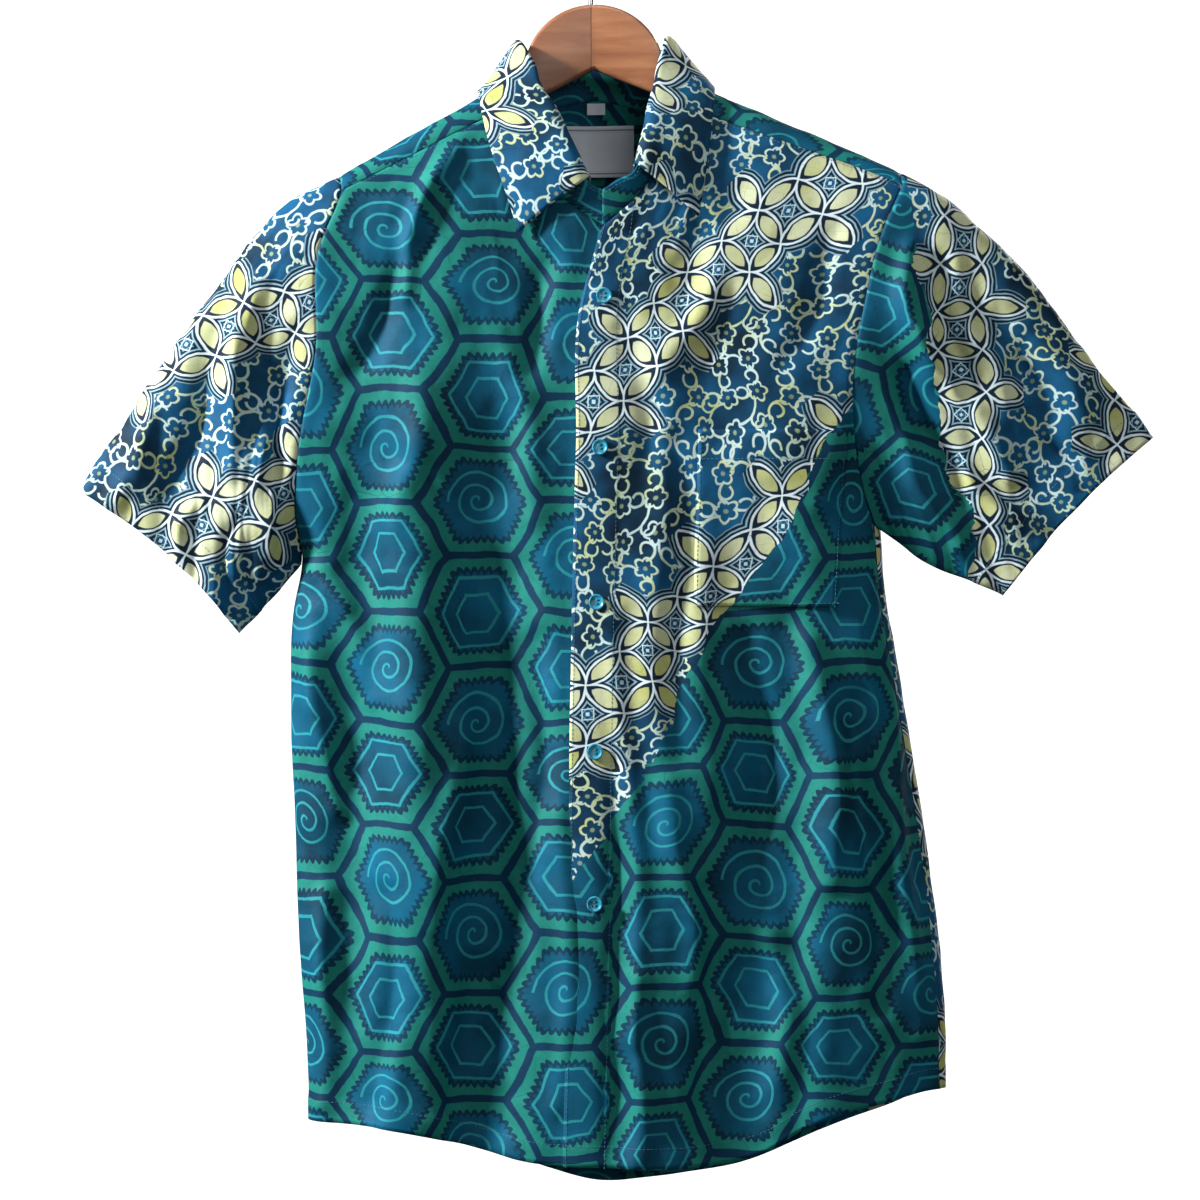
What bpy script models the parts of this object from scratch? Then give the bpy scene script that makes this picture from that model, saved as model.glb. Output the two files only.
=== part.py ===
"""A short-sleeved batik shirt hanging on a wooden hanger.

Sizes are in millimetres until new_object() turns them into metres. +X is the wearer's
left, -Y is the front and +Z is up. The origin is where a rail holds the hook, and a
height is given as a drop, the distance below that point. Each cloth piece is a grid of
points on the garment's outside. Pieces that are sewn together share the points of
their seam, so sew() can give both the same normals and draw them apart by the seam gap.
"""

import math
from collections import namedtuple

import bmesh
import bpy
import numpy as np
from mathutils import Matrix, Vector

MM = 0.001
WALL = 1.2
SEAM_GAP = 0.3
RIGHT, LEFT = -1, 1
FRONT, BACK = -1, 1

# ---------------------------------------------------------------- the garment's form

# The side edge of the body, as the front view shows it: the armhole, then the side.
Edge = namedtuple("Edge", "drop x")
SIDE_EDGE = {
    RIGHT: [
        Edge(180, -172), Edge(201, -176), Edge(240, -191), Edge(311, -193),
        Edge(385, -206), Edge(426, -209), Edge(465, -205), Edge(498, -211),
        Edge(562, -213), Edge(649, -210), Edge(735, -207), Edge(822, -201), Edge(870, -200),
    ],
    LEFT: [
        Edge(180, 232), Edge(195, 225), Edge(226, 212), Edge(284, 203),
        Edge(316, 201), Edge(380, 205), Edge(438, 211), Edge(476, 214),
        Edge(562, 228), Edge(649, 242), Edge(735, 253), Edge(800, 258), Edge(850, 258),
    ],
}
UNDERARM_DROP = {RIGHT: 465, LEFT: 438}
SIDE_HEM_DROP = {RIGHT: 863, LEFT: 841}
ARMHOLE_TOP_DROP = {RIGHT: 200, LEFT: 195}
SIDE_SEAM_DEG = {RIGHT: 0.0, LEFT: 12.0}
ARMHOLE_TOP_DEG = 62.0
ARMHOLE_TURN = 2.2
SECTION_POWER = 2.6

# The line of the buttons, and how far each front passes it.
Centre = namedtuple("Centre", "drop x left_passes right_passes")
CENTRE = [
    Centre(225, 12.5, 1.5, 1.0), Centre(250, 12.4, 9.0, 7.0), Centre(276, 12.2, 16.0, 12.0),
    Centre(382, 9.4, 17.0, 13.0), Centre(598, 5.8, 18.0, 13.0), Centre(706, 5.5, 18.5, 13.0),
    Centre(893, 2.0, 19.0, 13.0),
]
NECK_DROP = 225
UNDERLAP_SET_BACK = 2.6
UNDERLAP_EASE = 24.0

# The shoulder line, and the curve that it would follow across the neck.
Ridge = namedtuple("Ridge", "x drop")
RIDGE = [
    Ridge(-260, 234), Ridge(-192, 195.2), Ridge(-116, 151.5), Ridge(-77, 129), Ridge(-38, 107),
    Ridge(3, 91), Ridge(45, 106), Ridge(92, 126.8), Ridge(151, 152), Ridge(202, 174),
    Ridge(229, 187), Ridge(262, 206),
]
SHOULDER_V, SHOULDER_BOW = 0.055, 0.00012
FORWARD_FADE = 160.0

# Half depths below the shoulder line: a small round over the hanger, then a slow swell.
RIDGE_REACH, RIDGE_FADE = 12.5, 7.0
BODY_REACH, BODY_FADE = {FRONT: 44.0, BACK: 38.0}, 110.0
NECK_SWELL, NECK_SWELL_DROP, NECK_SWELL_SIZE = 11.0, 165.0, 68.0

# The largest folds. Depth is positive for a ridge and negative for a trough.
Fold = namedtuple("Fold", "x_top x_mid x_hem depth_top depth_mid depth_hem width")
FOLD_DROPS = (205, 540, 880)
FOLDS = {
    FRONT: [
        Fold(-98, -122, -146, 3.0, 8.0, 13.0, 24),
        Fold(-40, -60, -66, -2.0, -7.0, -11.0, 27),
        Fold(-150, -166, -184, 0.0, -6.0, -4.0, 17),
        Fold(9, 8, 3, 0.0, 3.0, 5.0, 25),
        Fold(52, 50, 52, 0.5, 4.0, 6.0, 20),
        Fold(84, 98, 106, -2.0, -6.0, -9.0, 25),
        Fold(130, 160, 168, 2.0, 6.0, 8.0, 25),
        Fold(180, 205, 218, 0.0, -4.0, -5.0, 15),
    ],
    BACK: [
        Fold(-130, -150, -160, 0.0, 6.0, 9.0, 24),
        Fold(-80, -95, -104, -1.0, -6.0, -10.0, 25),
        Fold(-30, -38, -44, 1.0, 6.0, 9.0, 26),
        Fold(25, 18, 14, -1.0, -5.0, -9.0, 24),
        Fold(70, 76, 80, 1.0, 6.0, 10.0, 25),
        Fold(120, 134, 142, -1.0, -6.0, -9.0, 24),
        Fold(160, 188, 200, 0.0, 5.0, 7.0, 22),
    ],
}

# Hems, neckline and yoke seams.
Hem = namedtuple("Hem", "x drop")
HEM = {
    FRONT: [
        Hem(-205, 863), Hem(-140, 867), Hem(-96, 876), Hem(-44, 890), Hem(10, 893), Hem(82, 893),
        Hem(126, 884), Hem(150, 869), Hem(215, 848), Hem(248, 841), Hem(262, 841),
    ],
    BACK: [
        Hem(-205, 863), Hem(-146, 869), Hem(-96, 880), Hem(-28, 905), Hem(10, 912), Hem(45, 911),
        Hem(109, 901), Hem(158, 880), Hem(185, 870), Hem(229, 852), Hem(248, 841), Hem(262, 841),
    ],
}
NECK_MIDDLE_X, NECK_HALF_WIDTH = 3.0, 72.0
NECK_CORNER_DEG = 20.0
BACK_NECK_DROP = 128.0
NECKLINE_POWER = 0.55
FRONT_SEAM_FALL = {RIGHT: (12.0, 20.0), LEFT: (9.0, 20.0)}
YOKE_SEAM_DROP = 215.0

# Grid lines that run down the body: one under the shoulder's middle, one under the neck corner.
Line = namedtuple("Line", "drop outer neck")
LINES = {
    RIGHT: [Line(130, -128, -64.7), Line(200, -138, -66), Line(380, -162, -70), Line(880, -164, -78)],
    LEFT: [Line(130, 150, 70.7), Line(200, 172, 74), Line(369, 184, 79), Line(495, 178, 76), Line(880, 192, 80)],
}
EDGE_CELLS, MIDDLE_CELLS, NECK_CELLS = 4, 4, 6
CELLS_TO_KNEE, CELLS_TO_UNDERARM, CELLS_TO_CHEST, CELLS_TO_TOP = 11, 2, 2, 5
BACK_ARMHOLE_CELLS, YOKE_BACK_CELLS, YOKE_FRONT_CELLS = 7, 6, 4
YOKE_TURN_SHARE, YOKE_BOW = 0.168, 15.0
KNEE_DROP = {RIGHT: 520, LEFT: 495}
CHEST_DROP = {RIGHT: 392, LEFT: 369}


def curve(at, rows, column, key=0):
    """The value of a table's column at a place, on a smooth curve through its rows."""
    knots = np.array([row[key] for row in rows], float)
    values = np.array([getattr(row, column) for row in rows], float)
    slopes = np.gradient(values, knots)
    at = np.clip(np.asarray(at, float), knots[0], knots[-1])
    k = np.clip(np.searchsorted(knots, at, side="right") - 1, 0, len(knots) - 2)
    span = knots[k + 1] - knots[k]
    t = (at - knots[k]) / span
    return (
        (1 + 2 * t) * (1 - t) ** 2 * values[k]
        + t * (1 - t) ** 2 * span * slopes[k]
        + t * t * (3 - 2 * t) * values[k + 1]
        + t * t * (t - 1) * span * slopes[k + 1]
    )


def blend(a, b, t):
    return a + (b - a) * t


def hanger_forward(x):
    """How far the shoulders come forward, because the hanger's arms do."""
    return -(SHOULDER_V * np.abs(x) + SHOULDER_BOW * x * x)


def half_width(side, drop):
    """The body's half width, which grows above the underarm so that the body runs into the sleeve."""
    centre = curve(drop, CENTRE, "x")
    return (curve(drop, SIDE_EDGE[side], "x") - centre) / np.cos(edge_angle(side, drop, FRONT, True))


def edge_angle(side, drop, face, outline=False):
    """The angle round the body of a panel's edge: the side seam, then its armhole."""
    seam = math.radians(SIDE_SEAM_DEG[side])
    low, high = UNDERARM_DROP[side], ARMHOLE_TOP_DROP[side]
    t = np.clip((low - np.asarray(drop, float)) / (low - high), 0, 1)
    turn = 1 - (1 - t) ** ARMHOLE_TURN
    top = math.radians(ARMHOLE_TOP_DEG) * (1 if face == FRONT else -1)
    if outline:
        return top * turn
    return seam + (top - seam) * turn


def depth_below(fall, face):
    """How far the cloth stands off the middle plane, this far below the shoulder line."""
    fall = np.maximum(fall, 0)
    near = RIDGE_REACH * np.sqrt(1 - np.exp(-fall / RIDGE_FADE))
    return near + (BODY_REACH[face] - RIDGE_REACH) * (1 - np.exp(-fall / BODY_FADE))


def fold_depth(x, drop, face):
    total = np.zeros(np.broadcast(x, drop).shape)
    for fold in FOLDS[face]:
        middle = np.interp(drop, FOLD_DROPS, (fold.x_top, fold.x_mid, fold.x_hem))
        depth = np.interp(drop, FOLD_DROPS, (fold.depth_top, fold.depth_mid, fold.depth_hem))
        total = total + depth * np.exp(-(((x - middle) / fold.width) ** 2))
    return total


def body_y(x, drop, face):
    """The body's outside at a place in the front view, on its front or its back."""
    side = np.where(x < curve(drop, CENTRE, "x"), RIGHT, LEFT)
    width = np.where(side == RIGHT, half_width(RIGHT, drop), half_width(LEFT, drop))
    across = np.clip(np.abs((x - curve(drop, CENTRE, "x")) / width), 0, 1)
    round_off = (1 - across**SECTION_POWER) ** (1 / SECTION_POWER)
    fall = drop - curve(x, RIDGE, "drop")
    swell = NECK_SWELL * np.exp(
        -(((x - NECK_MIDDLE_X) / NECK_SWELL_SIZE) ** 2) - ((drop - NECK_SWELL_DROP) / NECK_SWELL_SIZE) ** 2
    ) * np.clip(fall / RIDGE_FADE, 0, 1)
    depth = (depth_below(fall, face) + swell + fold_depth(x, drop, face)) * round_off
    return hanger_forward(x) * np.exp(-np.maximum(fall, 0) / FORWARD_FADE) + face * depth


def body_points(x, drop, face):
    x, drop = np.broadcast_arrays(np.asarray(x, float), np.asarray(drop, float))
    return np.stack([x, body_y(x, drop, face), -drop], axis=-1)


# ---------------------------------------------------------------- grids of the body's pieces


def column_x(side, column, drop, face):
    """(x, face) of a grid line at a drop: columns are counted from the side edge inwards."""
    centre = curve(drop, CENTRE, "x")
    outer = curve(drop, LINES[side], "outer")
    neck = curve(drop, LINES[side], "neck")
    if column <= EDGE_CELLS:
        width = half_width(side, drop)
        last = np.arccos(np.clip((outer - centre) / width, -1, 1)) * (1 if face == FRONT else -1)
        angle = blend(edge_angle(side, drop, face), last, column / EDGE_CELLS)
        return centre + width * np.cos(angle), FRONT if angle > 0 else BACK
    if column <= EDGE_CELLS + MIDDLE_CELLS:
        return blend(outer, neck, (column - EDGE_CELLS) / MIDDLE_CELLS), face
    if face == BACK:
        end = centre
    elif side == LEFT:
        end = centre - curve(drop, CENTRE, "left_passes")
    else:
        end = centre + curve(drop, CENTRE, "right_passes")
    return blend(neck, end, (column - EDGE_CELLS - MIDDLE_CELLS) / NECK_CELLS), face


def neck_corner(side):
    """Where front, yoke and stand meet: (x, drop)."""
    x = NECK_MIDDLE_X + side * NECK_HALF_WIDTH * math.cos(math.radians(NECK_CORNER_DEG))
    return x, float(curve(x, RIDGE, "drop")) + FRONT_SEAM_FALL[side][1]


def front_top_drop(side, x):
    """The front's top edge: the yoke seam as far as the neck corner, then the neckline."""
    corner_x, corner_drop = neck_corner(side)
    if abs(x - NECK_MIDDLE_X) >= abs(corner_x - NECK_MIDDLE_X):
        edge = float(curve(ARMHOLE_TOP_DROP[side], SIDE_EDGE[side], "x"))
        share = min(1.0, (x - edge) / (corner_x - edge))
        return float(curve(x, RIDGE, "drop")) + blend(*FRONT_SEAM_FALL[side], share)
    end = CENTRE[0].x + (CENTRE[0].right_passes if side == RIGHT else -CENTRE[0].left_passes)
    share = min(1.0, max(0.0, (x - end) / (corner_x - end)))
    return corner_drop + (NECK_DROP - corner_drop) * (1 - share) ** NECKLINE_POWER


def settle(side, column, face, drop_at, start):
    """The drop where a grid line meets an edge that is given as a function of x."""
    drop = start
    for _ in range(12):
        drop = blend(drop, float(drop_at(float(column_x(side, column, drop, face)[0]))), 0.7)
    return drop


def spread(levels, cells):
    """Drops down a grid line: evenly spaced cells between the levels."""
    drops = [levels[0]]
    for low, high, count in zip(levels, levels[1:], cells):
        drops += [blend(low, high, (n + 1) / count) for n in range(count)]
    return drops


def front_grid(side):
    """Rows from hem to top, columns from the side edge to the centre."""
    columns = []
    for column in range(EDGE_CELLS + MIDDLE_CELLS + NECK_CELLS + 1):
        hem = settle(side, column, FRONT, lambda x: curve(x, HEM[FRONT], "drop"), 870) if column else SIDE_HEM_DROP[side]
        top = settle(side, column, FRONT, lambda x: front_top_drop(side, x), 190)
        levels = (hem, KNEE_DROP[side], UNDERARM_DROP[side], CHEST_DROP[side], top)
        cells = (CELLS_TO_KNEE, CELLS_TO_UNDERARM, CELLS_TO_CHEST, CELLS_TO_TOP)
        points = []
        for drop in spread(levels, cells):
            x, face = column_x(side, column, drop, FRONT)
            points.append(body_points(x, drop, face))
        columns.append(points)
    grid = np.array(columns).transpose(1, 0, 2)
    if side == RIGHT:
        passed = grid[..., 0] - (curve(-grid[..., 2], CENTRE, "x") - curve(-grid[..., 2], CENTRE, "left_passes"))
        under = np.clip(passed / UNDERLAP_EASE + 1, 0, 1)
        grid[..., 1] += UNDERLAP_SET_BACK * under * under * (3 - 2 * under)
    return grid


def back_columns():
    """The back's grid lines from the wearer's right to the left: (side, column)."""
    last = EDGE_CELLS + MIDDLE_CELLS + NECK_CELLS
    return [(RIGHT, c) for c in range(last + 1)] + [(LEFT, c) for c in range(last - 1, -1, -1)]


def back_grid():
    """Rows from hem to yoke seam, columns from the wearer's right to the left."""
    lines = back_columns()
    columns = []
    for number, (side, column) in enumerate(lines):
        share = number / (len(lines) - 1)
        knee = blend(KNEE_DROP[RIGHT], KNEE_DROP[LEFT], share)
        underarm = blend(UNDERARM_DROP[RIGHT], UNDERARM_DROP[LEFT], share)
        hem = settle(side, column, BACK, lambda x: curve(x, HEM[BACK], "drop"), 870) if column else SIDE_HEM_DROP[side]
        levels = (hem, knee, underarm, YOKE_SEAM_DROP)
        cells = (CELLS_TO_KNEE, CELLS_TO_UNDERARM, BACK_ARMHOLE_CELLS)
        points = []
        for drop in spread(levels, cells):
            x, face = column_x(side, column, drop, BACK)
            points.append(body_points(x, drop, face))
        columns.append(points)
    return np.array(columns).transpose(1, 0, 2)


def arch_point(x, arch):
    """A point on the yoke: arch is negative behind the shoulder line and positive before it."""
    fall = arch * arch / (abs(arch) + RIDGE_REACH)
    return body_points(x, float(curve(x, RIDGE, "drop")) + fall, BACK if arch < 0 else FRONT)


def arch_of(fall, sign):
    return sign * (fall + math.sqrt(fall * fall + 4 * RIDGE_REACH * fall)) / 2


def yoke_neckline():
    """(x, arch) round the neck from the right neck corner over the back to the left one."""
    reach_front = arch_of(FRONT_SEAM_FALL[RIGHT][1], 1)
    reach_back = arch_of(BACK_NECK_DROP - float(curve(NECK_MIDDLE_X, RIDGE, "drop")), 1)
    ends = math.radians(180 + NECK_CORNER_DEG), math.radians(-NECK_CORNER_DEG)
    line = []
    for n in range(2 * NECK_CELLS + 1):
        angle = blend(*ends, n / (2 * NECK_CELLS))
        rise = math.sin(angle)
        arch = -reach_back * rise if rise > 0 else -reach_front * rise / math.sin(math.radians(NECK_CORNER_DEG))
        line.append((NECK_MIDDLE_X + NECK_HALF_WIDTH * math.cos(angle), arch))
    return line


def arch_at(point, sign):
    return arch_of(max(0.0, -point[2] - float(curve(point[0], RIDGE, "drop"))), sign)


def yoke_grid(back, fronts):
    """Rows from the back seam to the front seams and the neckline; columns as the back's. The
    rows crowd together at the shoulder line, where the cloth turns over the hanger."""
    outer = EDGE_CELLS + MIDDLE_CELLS
    neckline = yoke_neckline()
    lines = back_columns()
    columns = []
    for number, (side, column) in enumerate(lines):
        low = back[-1, number]
        if column <= outer:
            high = fronts[side][-1, column]
            high_x, high_arch = high[0], arch_at(high, 1)
        else:
            high_x, high_arch = neckline[number - outer]
            high = arch_point(high_x, high_arch)
        low_arch = arch_at(low, -1)
        inside = max(0, column - outer) / NECK_CELLS
        turn = min(0.0, high_arch - YOKE_TURN_SHARE * (high_arch - low_arch) * inside)
        behind = [turn + (low_arch - turn) * (1 - n / YOKE_BACK_CELLS) ** 2 for n in range(YOKE_BACK_CELLS)]
        before = [turn + (high_arch - turn) * (n / YOKE_FRONT_CELLS) ** 1.4 for n in range(YOKE_FRONT_CELLS + 1)]
        weight = min(column / outer, (outer + NECK_CELLS - column) / NECK_CELLS)
        points = [low]
        for arch in (behind + before)[1:-1]:
            share = (arch - low_arch) / (high_arch - low_arch)
            bow = side * YOKE_BOW * weight * math.sin(math.pi * share**1.6)
            points.append(arch_point(blend(low[0], high_x, share) + bow, arch))
        points.append(high)
        columns.append(points)
    return np.array(columns).transpose(1, 0, 2)


# ---------------------------------------------------------------- sleeves

# Each sleeve's outline in the front view: the corner points of its cuff.
Cuff = namedtuple("Cuff", "top_x top_drop bend_x bend_drop low_x low_drop")
CUFF = {
    RIGHT: Cuff(-364, 412, -296, 461, -250, 514),
    LEFT: Cuff(406, 374, 347, 428, 299, 487),
}
# The upper and lower outlines, from the armhole, 0, to the cuff, 1.
Outline = namedtuple("Outline", "share x drop")
UPPER = {
    RIGHT: [Outline(0, -180, 189), Outline(0.11, -213, 205), Outline(0.33, -259, 256), Outline(0.67, -315, 335),
            Outline(1, -364, 412)],
    LEFT: [Outline(0, 204, 176), Outline(0.11, 232, 190), Outline(0.33, 285, 233), Outline(0.67, 347, 303),
           Outline(1, 406, 374)],
}
LOWER = {
    RIGHT: [Outline(0, -205, 465), Outline(0.5, -229, 492), Outline(1, -250, 514)],
    LEFT: [Outline(0, 211, 438), Outline(0.5, 250, 464), Outline(1, 299, 487)],
}
CUFF_HALF_DEPTH, CUFF_MIDDLE_Y = 15.0, -8.0
SLEEVE_CELLS = 9
CUFF_POWER = 2.4
SLEEVE_FOLDS = {
    RIGHT: [Fold(0.62, 0.70, 0.80, 2.0, 6.0, 7.0, 0.13), Fold(0.40, 0.42, 0.45, -1.0, -4.0, -5.0, 0.12)],
    LEFT: [Fold(0.30, 0.36, 0.40, 3.0, 6.0, 4.0, 0.12), Fold(0.52, 0.58, 0.62, -2.0, -6.0, -6.0, 0.12)],
}


def armhole(side, front, back, yoke):
    """The armhole's points from the shoulder line down its front and its back: two lists, each
    from the shoulder line to the underarm. The front list holds the front half of the yoke's end."""
    low_row = CELLS_TO_KNEE + CELLS_TO_UNDERARM
    column = 0 if side == RIGHT else -1
    end = yoke[:, column]
    ridge = int(np.argmax(end[:, 2]))
    down_front = list(end[ridge:]) + list(front[low_row:-1, 0][::-1])
    down_back = list(end[: ridge + 1][::-1]) + list(back[low_row:-1, column][::-1])
    return np.array(down_front), np.array(down_back)


def shares_along(points):
    steps = np.linalg.norm(np.diff(points, axis=0), axis=1)
    return np.concatenate([[0], np.cumsum(steps) / steps.sum()])


def bezier(a, b, c, t):
    return a * (1 - t) ** 2 + b * 2 * t * (1 - t) + c * t * t


def off_line(rows, t):
    """How far an outline stands off the straight line between its ends."""
    x, drop = (float(curve(t, rows, c)) - blend(getattr(rows[0], c), getattr(rows[-1], c), t) for c in ("x", "drop"))
    return np.array([x, 0, -drop])


def sleeve_layer(side, branch, face):
    """One side of a sleeve, from the armhole's branch to the cuff: rows run down the sleeve."""
    cuff = CUFF[side]
    shares = shares_along(branch)
    corner_top = np.array([cuff.top_x, CUFF_MIDDLE_Y, -cuff.top_drop])
    corner_bend = np.array([cuff.bend_x, CUFF_MIDDLE_Y, -cuff.bend_drop])
    corner_low = np.array([cuff.low_x, CUFF_MIDDLE_Y, -cuff.low_drop])
    around = np.clip(1 - np.abs(2 * shares - 1) ** CUFF_POWER, 0, 1) ** (1 / CUFF_POWER)
    hem = np.array([bezier(corner_top, 2 * corner_bend - (corner_top + corner_low) / 2, corner_low, w) for w in shares])
    hem[:, 1] += face * CUFF_HALF_DEPTH * around
    rows = []
    for row in range(SLEEVE_CELLS + 1):
        t = row / SLEEVE_CELLS
        top, low = (off_line(table[side], t) for table in (UPPER, LOWER))
        points = []
        for w, start, end, rise in zip(shares, branch, hem, around):
            flat = blend(start, end, t)
            edge = blend(top, low, w)
            lift = sum(
                np.interp(t, (0, 0.5, 1), fold[3:6])
                * math.exp(-(((w - np.interp(t, (0, 0.5, 1), fold[:3])) / fold.width) ** 2))
                for fold in SLEEVE_FOLDS[side]
            )
            fade = min(1.0, 4 * t) * rise
            points.append(flat + edge + np.array([0, face * lift * fade, 0]))
        rows.append(points)
    return np.array(rows)


def sleeve_grid(side, front, back, yoke):
    """Rows from the armhole to the cuff; columns go down the front and up the back, all round."""
    down_front, down_back = armhole(side, front, back, yoke)
    before = sleeve_layer(side, down_front, FRONT)
    behind = sleeve_layer(side, down_back, BACK)
    return np.concatenate([before[:, :-1], behind[:, :0:-1]], axis=1)


# ---------------------------------------------------------------- collar

# Round the neck from the centre back, 0, to the centre front, 1.
Stand = namedtuple("Stand", "share rise_right lean_right rise_left lean_left back_by")
STAND = [
    Stand(0, 34, 3, 34, 3, -5), Stand(0.25, 32, 11, 32, 11, -3), Stand(0.417, 31.5, 21, 29, 18, 0),
    Stand(0.5, 28, 27, 24, 19.5, 0), Stand(0.583, 33, 26, 27, 17, -1), Stand(0.667, 34, 21, 28, 10.5, -2),
    Stand(0.75, 30.5, 15, 25.5, 4, -4), Stand(0.833, 25.5, 9, 21, -2, -4), Stand(0.917, 22.5, 2, 24, 0, -4),
    Stand(1.0, 26, 0, 26, 0, -3),
]
STAND_CELLS = 2
# The leaf's outer edge: on the front it is given in the front view, then it lies on the yoke.
Leaf = namedtuple("Leaf", "share x_right drop_right x_left drop_left")
LEAF_EDGE = [
    Leaf(0.5, -76.5, 132, 90.5, 132), Leaf(0.6, -73, 152, 88.5, 155), Leaf(0.7, -66, 176, 85, 182),
    Leaf(0.833, -55, 208, 79.2, 218), Leaf(0.917, -48.2, 229, 76, 232),
]
LEAF_BACK_DROP = 140.0
LEAF_FIRST_COLUMN, LEAF_LAST_COLUMN = 1, -3
LEAF_CLEAR = 4.2
ROLL_HEIGHT, ROLL_WIDTH = 4.2, 5.4
LEAF_FALL_CELLS, LEAF_FORWARD = 4, 1.2


def neck_seam(fronts, yoke):
    """The neckline's points from the right centre front, round the back, to the left one."""
    outer = EDGE_CELLS + MIDDLE_CELLS
    right = fronts[RIGHT][-1, outer:][::-1]
    round_back = yoke[-1, outer : outer + 2 * NECK_CELLS + 1]
    left = fronts[LEFT][-1, outer:]
    return np.concatenate([right, round_back[1:-1], left])


def stand_grid(seam):
    """Rows from the neck seam to the roll line; columns from the right front end to the left."""
    count = len(seam) - 1
    top = []
    for number, point in enumerate(seam):
        share = abs(2 * number / count - 1)
        side, name = (LEFT, "left") if number > count / 2 else (RIGHT, "right")
        rise, lean = (float(curve(share, STAND, c + name)) for c in ("rise_", "lean_"))
        inward = -side * lean if number != count / 2 else 0
        top.append(point + np.array([inward, float(curve(share, STAND, "back_by")), rise]))
    return np.array([blend(seam, np.array(top), row / STAND_CELLS) for row in range(STAND_CELLS + 1)])


def clear_of_body(x, arch, clear):
    """A point this far outside the body, at a place over the shoulder or in front of it."""
    across = arch_point(x + 1, arch) - arch_point(x - 1, arch)
    along = arch_point(x, arch + 1) - arch_point(x, arch - 1)
    normal = np.cross(along, across)
    return arch_point(x, arch) + normal / np.linalg.norm(normal) * clear


def leaf_edge(share, side):
    """A point of the leaf's outer edge, just clear of what it lies on."""
    name = "right" if side == RIGHT else "left"
    first = LEAF_EDGE[0]
    turn = min(1.0, share / first.share) * math.pi / 2
    x = float(curve(max(share, first.share), LEAF_EDGE, "x_" + name))
    drop = float(curve(max(share, first.share), LEAF_EDGE, "drop_" + name))
    arch = arch_of(max(0.0, drop - float(curve(x, RIDGE, "drop"))), 1)
    behind = arch_of(LEAF_BACK_DROP - float(curve(NECK_MIDDLE_X, RIDGE, "drop")), -1)
    x = NECK_MIDDLE_X + (x - NECK_MIDDLE_X) * math.sin(turn)
    return clear_of_body(x, blend(behind, arch, 1 - math.cos(turn)), LEAF_CLEAR)


def leaf_grid(stand):
    """Rows from the stand's top edge, over the roll, to the outer edge. The ends stop short of
    the stand's ends, as a collar's do."""
    count = stand.shape[1] - 1
    top = stand[-1]
    rows = []
    columns = range(count + 1)[LEAF_FIRST_COLUMN : LEAF_LAST_COLUMN + 1]
    for number in columns:
        side = RIGHT if number < count / 2 else LEFT
        share = abs(2 * number / count - 1)
        edge = leaf_edge(share, side)
        out = edge - top[number]
        out[2] = 0
        out /= np.linalg.norm(out)
        out[1] -= LEAF_FORWARD * min(1.0, max(0.0, (share - 0.5) / 0.15))
        out /= np.linalg.norm(out)
        start = top[number] + np.array([0, 0, SEAM_GAP + 0.2]) - out * WALL
        up = np.array([0, 0, ROLL_HEIGHT])
        line = [start, start + 0.7 * up + out * 0.3, start + up + out * ROLL_WIDTH * 0.45,
                start + 0.6 * up + out * ROLL_WIDTH]
        last = line[-1]
        for cell in range(1, LEAF_FALL_CELLS + 1):
            t = cell / LEAF_FALL_CELLS
            line.append(blend(last, edge, t) + out * 2.2 * math.sin(math.pi * t))
        rows.append(line)
    return np.array(rows).transpose(1, 0, 2)


# ---------------------------------------------------------------- from grids to solids


def cross_normals(grid, flip, ring):
    """Unit normals of a grid's points."""
    along = np.gradient(grid, axis=0)
    if ring:
        across = (np.roll(grid, -1, axis=1) - np.roll(grid, 1, axis=1)) / 2
    else:
        across = np.gradient(grid, axis=1)
    normals = np.cross(across, along) * flip
    return normals / np.maximum(np.linalg.norm(normals, axis=2, keepdims=True), 1e-9)


def seam_key(point):
    return tuple(np.round(point, 2))


def sew(grids, flips, rings):
    """Outer and inner grids of every piece. Points that pieces share get one normal, and each
    piece's border is drawn in by half of the seam gap."""
    normals = {name: cross_normals(grid, flips[name], name in rings) for name, grid in grids.items()}
    shared = {}
    for name, grid in grids.items():
        for point, normal in zip(grid.reshape(-1, 3), normals[name].reshape(-1, 3)):
            shared.setdefault(seam_key(point), []).append(normal)
    solids = {}
    for name, grid in grids.items():
        outer, unit = grid.copy(), normals[name].copy()
        for index in np.ndindex(grid.shape[:2]):
            found = np.sum(shared[seam_key(grid[index])], axis=0)
            unit[index] = found / max(np.linalg.norm(found), 1e-9)
        for axis in (0,) if name in rings else (0, 1):
            for edge, inside in ((0, 1), (-1, -2)):
                border = [slice(None)] * 2
                border[axis] = edge
                inner = list(border)
                inner[axis] = inside
                step = grid[tuple(inner)] - grid[tuple(border)]
                step /= np.maximum(np.linalg.norm(step, axis=1, keepdims=True), 1e-9)
                outer[tuple(border)] += step * SEAM_GAP / 2
        solids[name] = (outer, outer - unit * WALL)
    return solids


def new_object(name, points, faces, finish):
    mesh = bpy.data.meshes.new(name)
    mesh.from_pydata([tuple(float(v) * MM for v in p) for p in points], [], faces)
    work = bmesh.new()
    work.from_mesh(mesh)
    bmesh.ops.recalc_face_normals(work, faces=work.faces)
    work.to_mesh(mesh)
    work.free()
    mesh.materials.append(finish)
    mesh.shade_smooth()
    mesh.set_sharp_from_angle(angle=math.radians(50))
    item = bpy.data.objects.new(name, mesh)
    bpy.context.scene.collection.objects.link(item)
    return item


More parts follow.
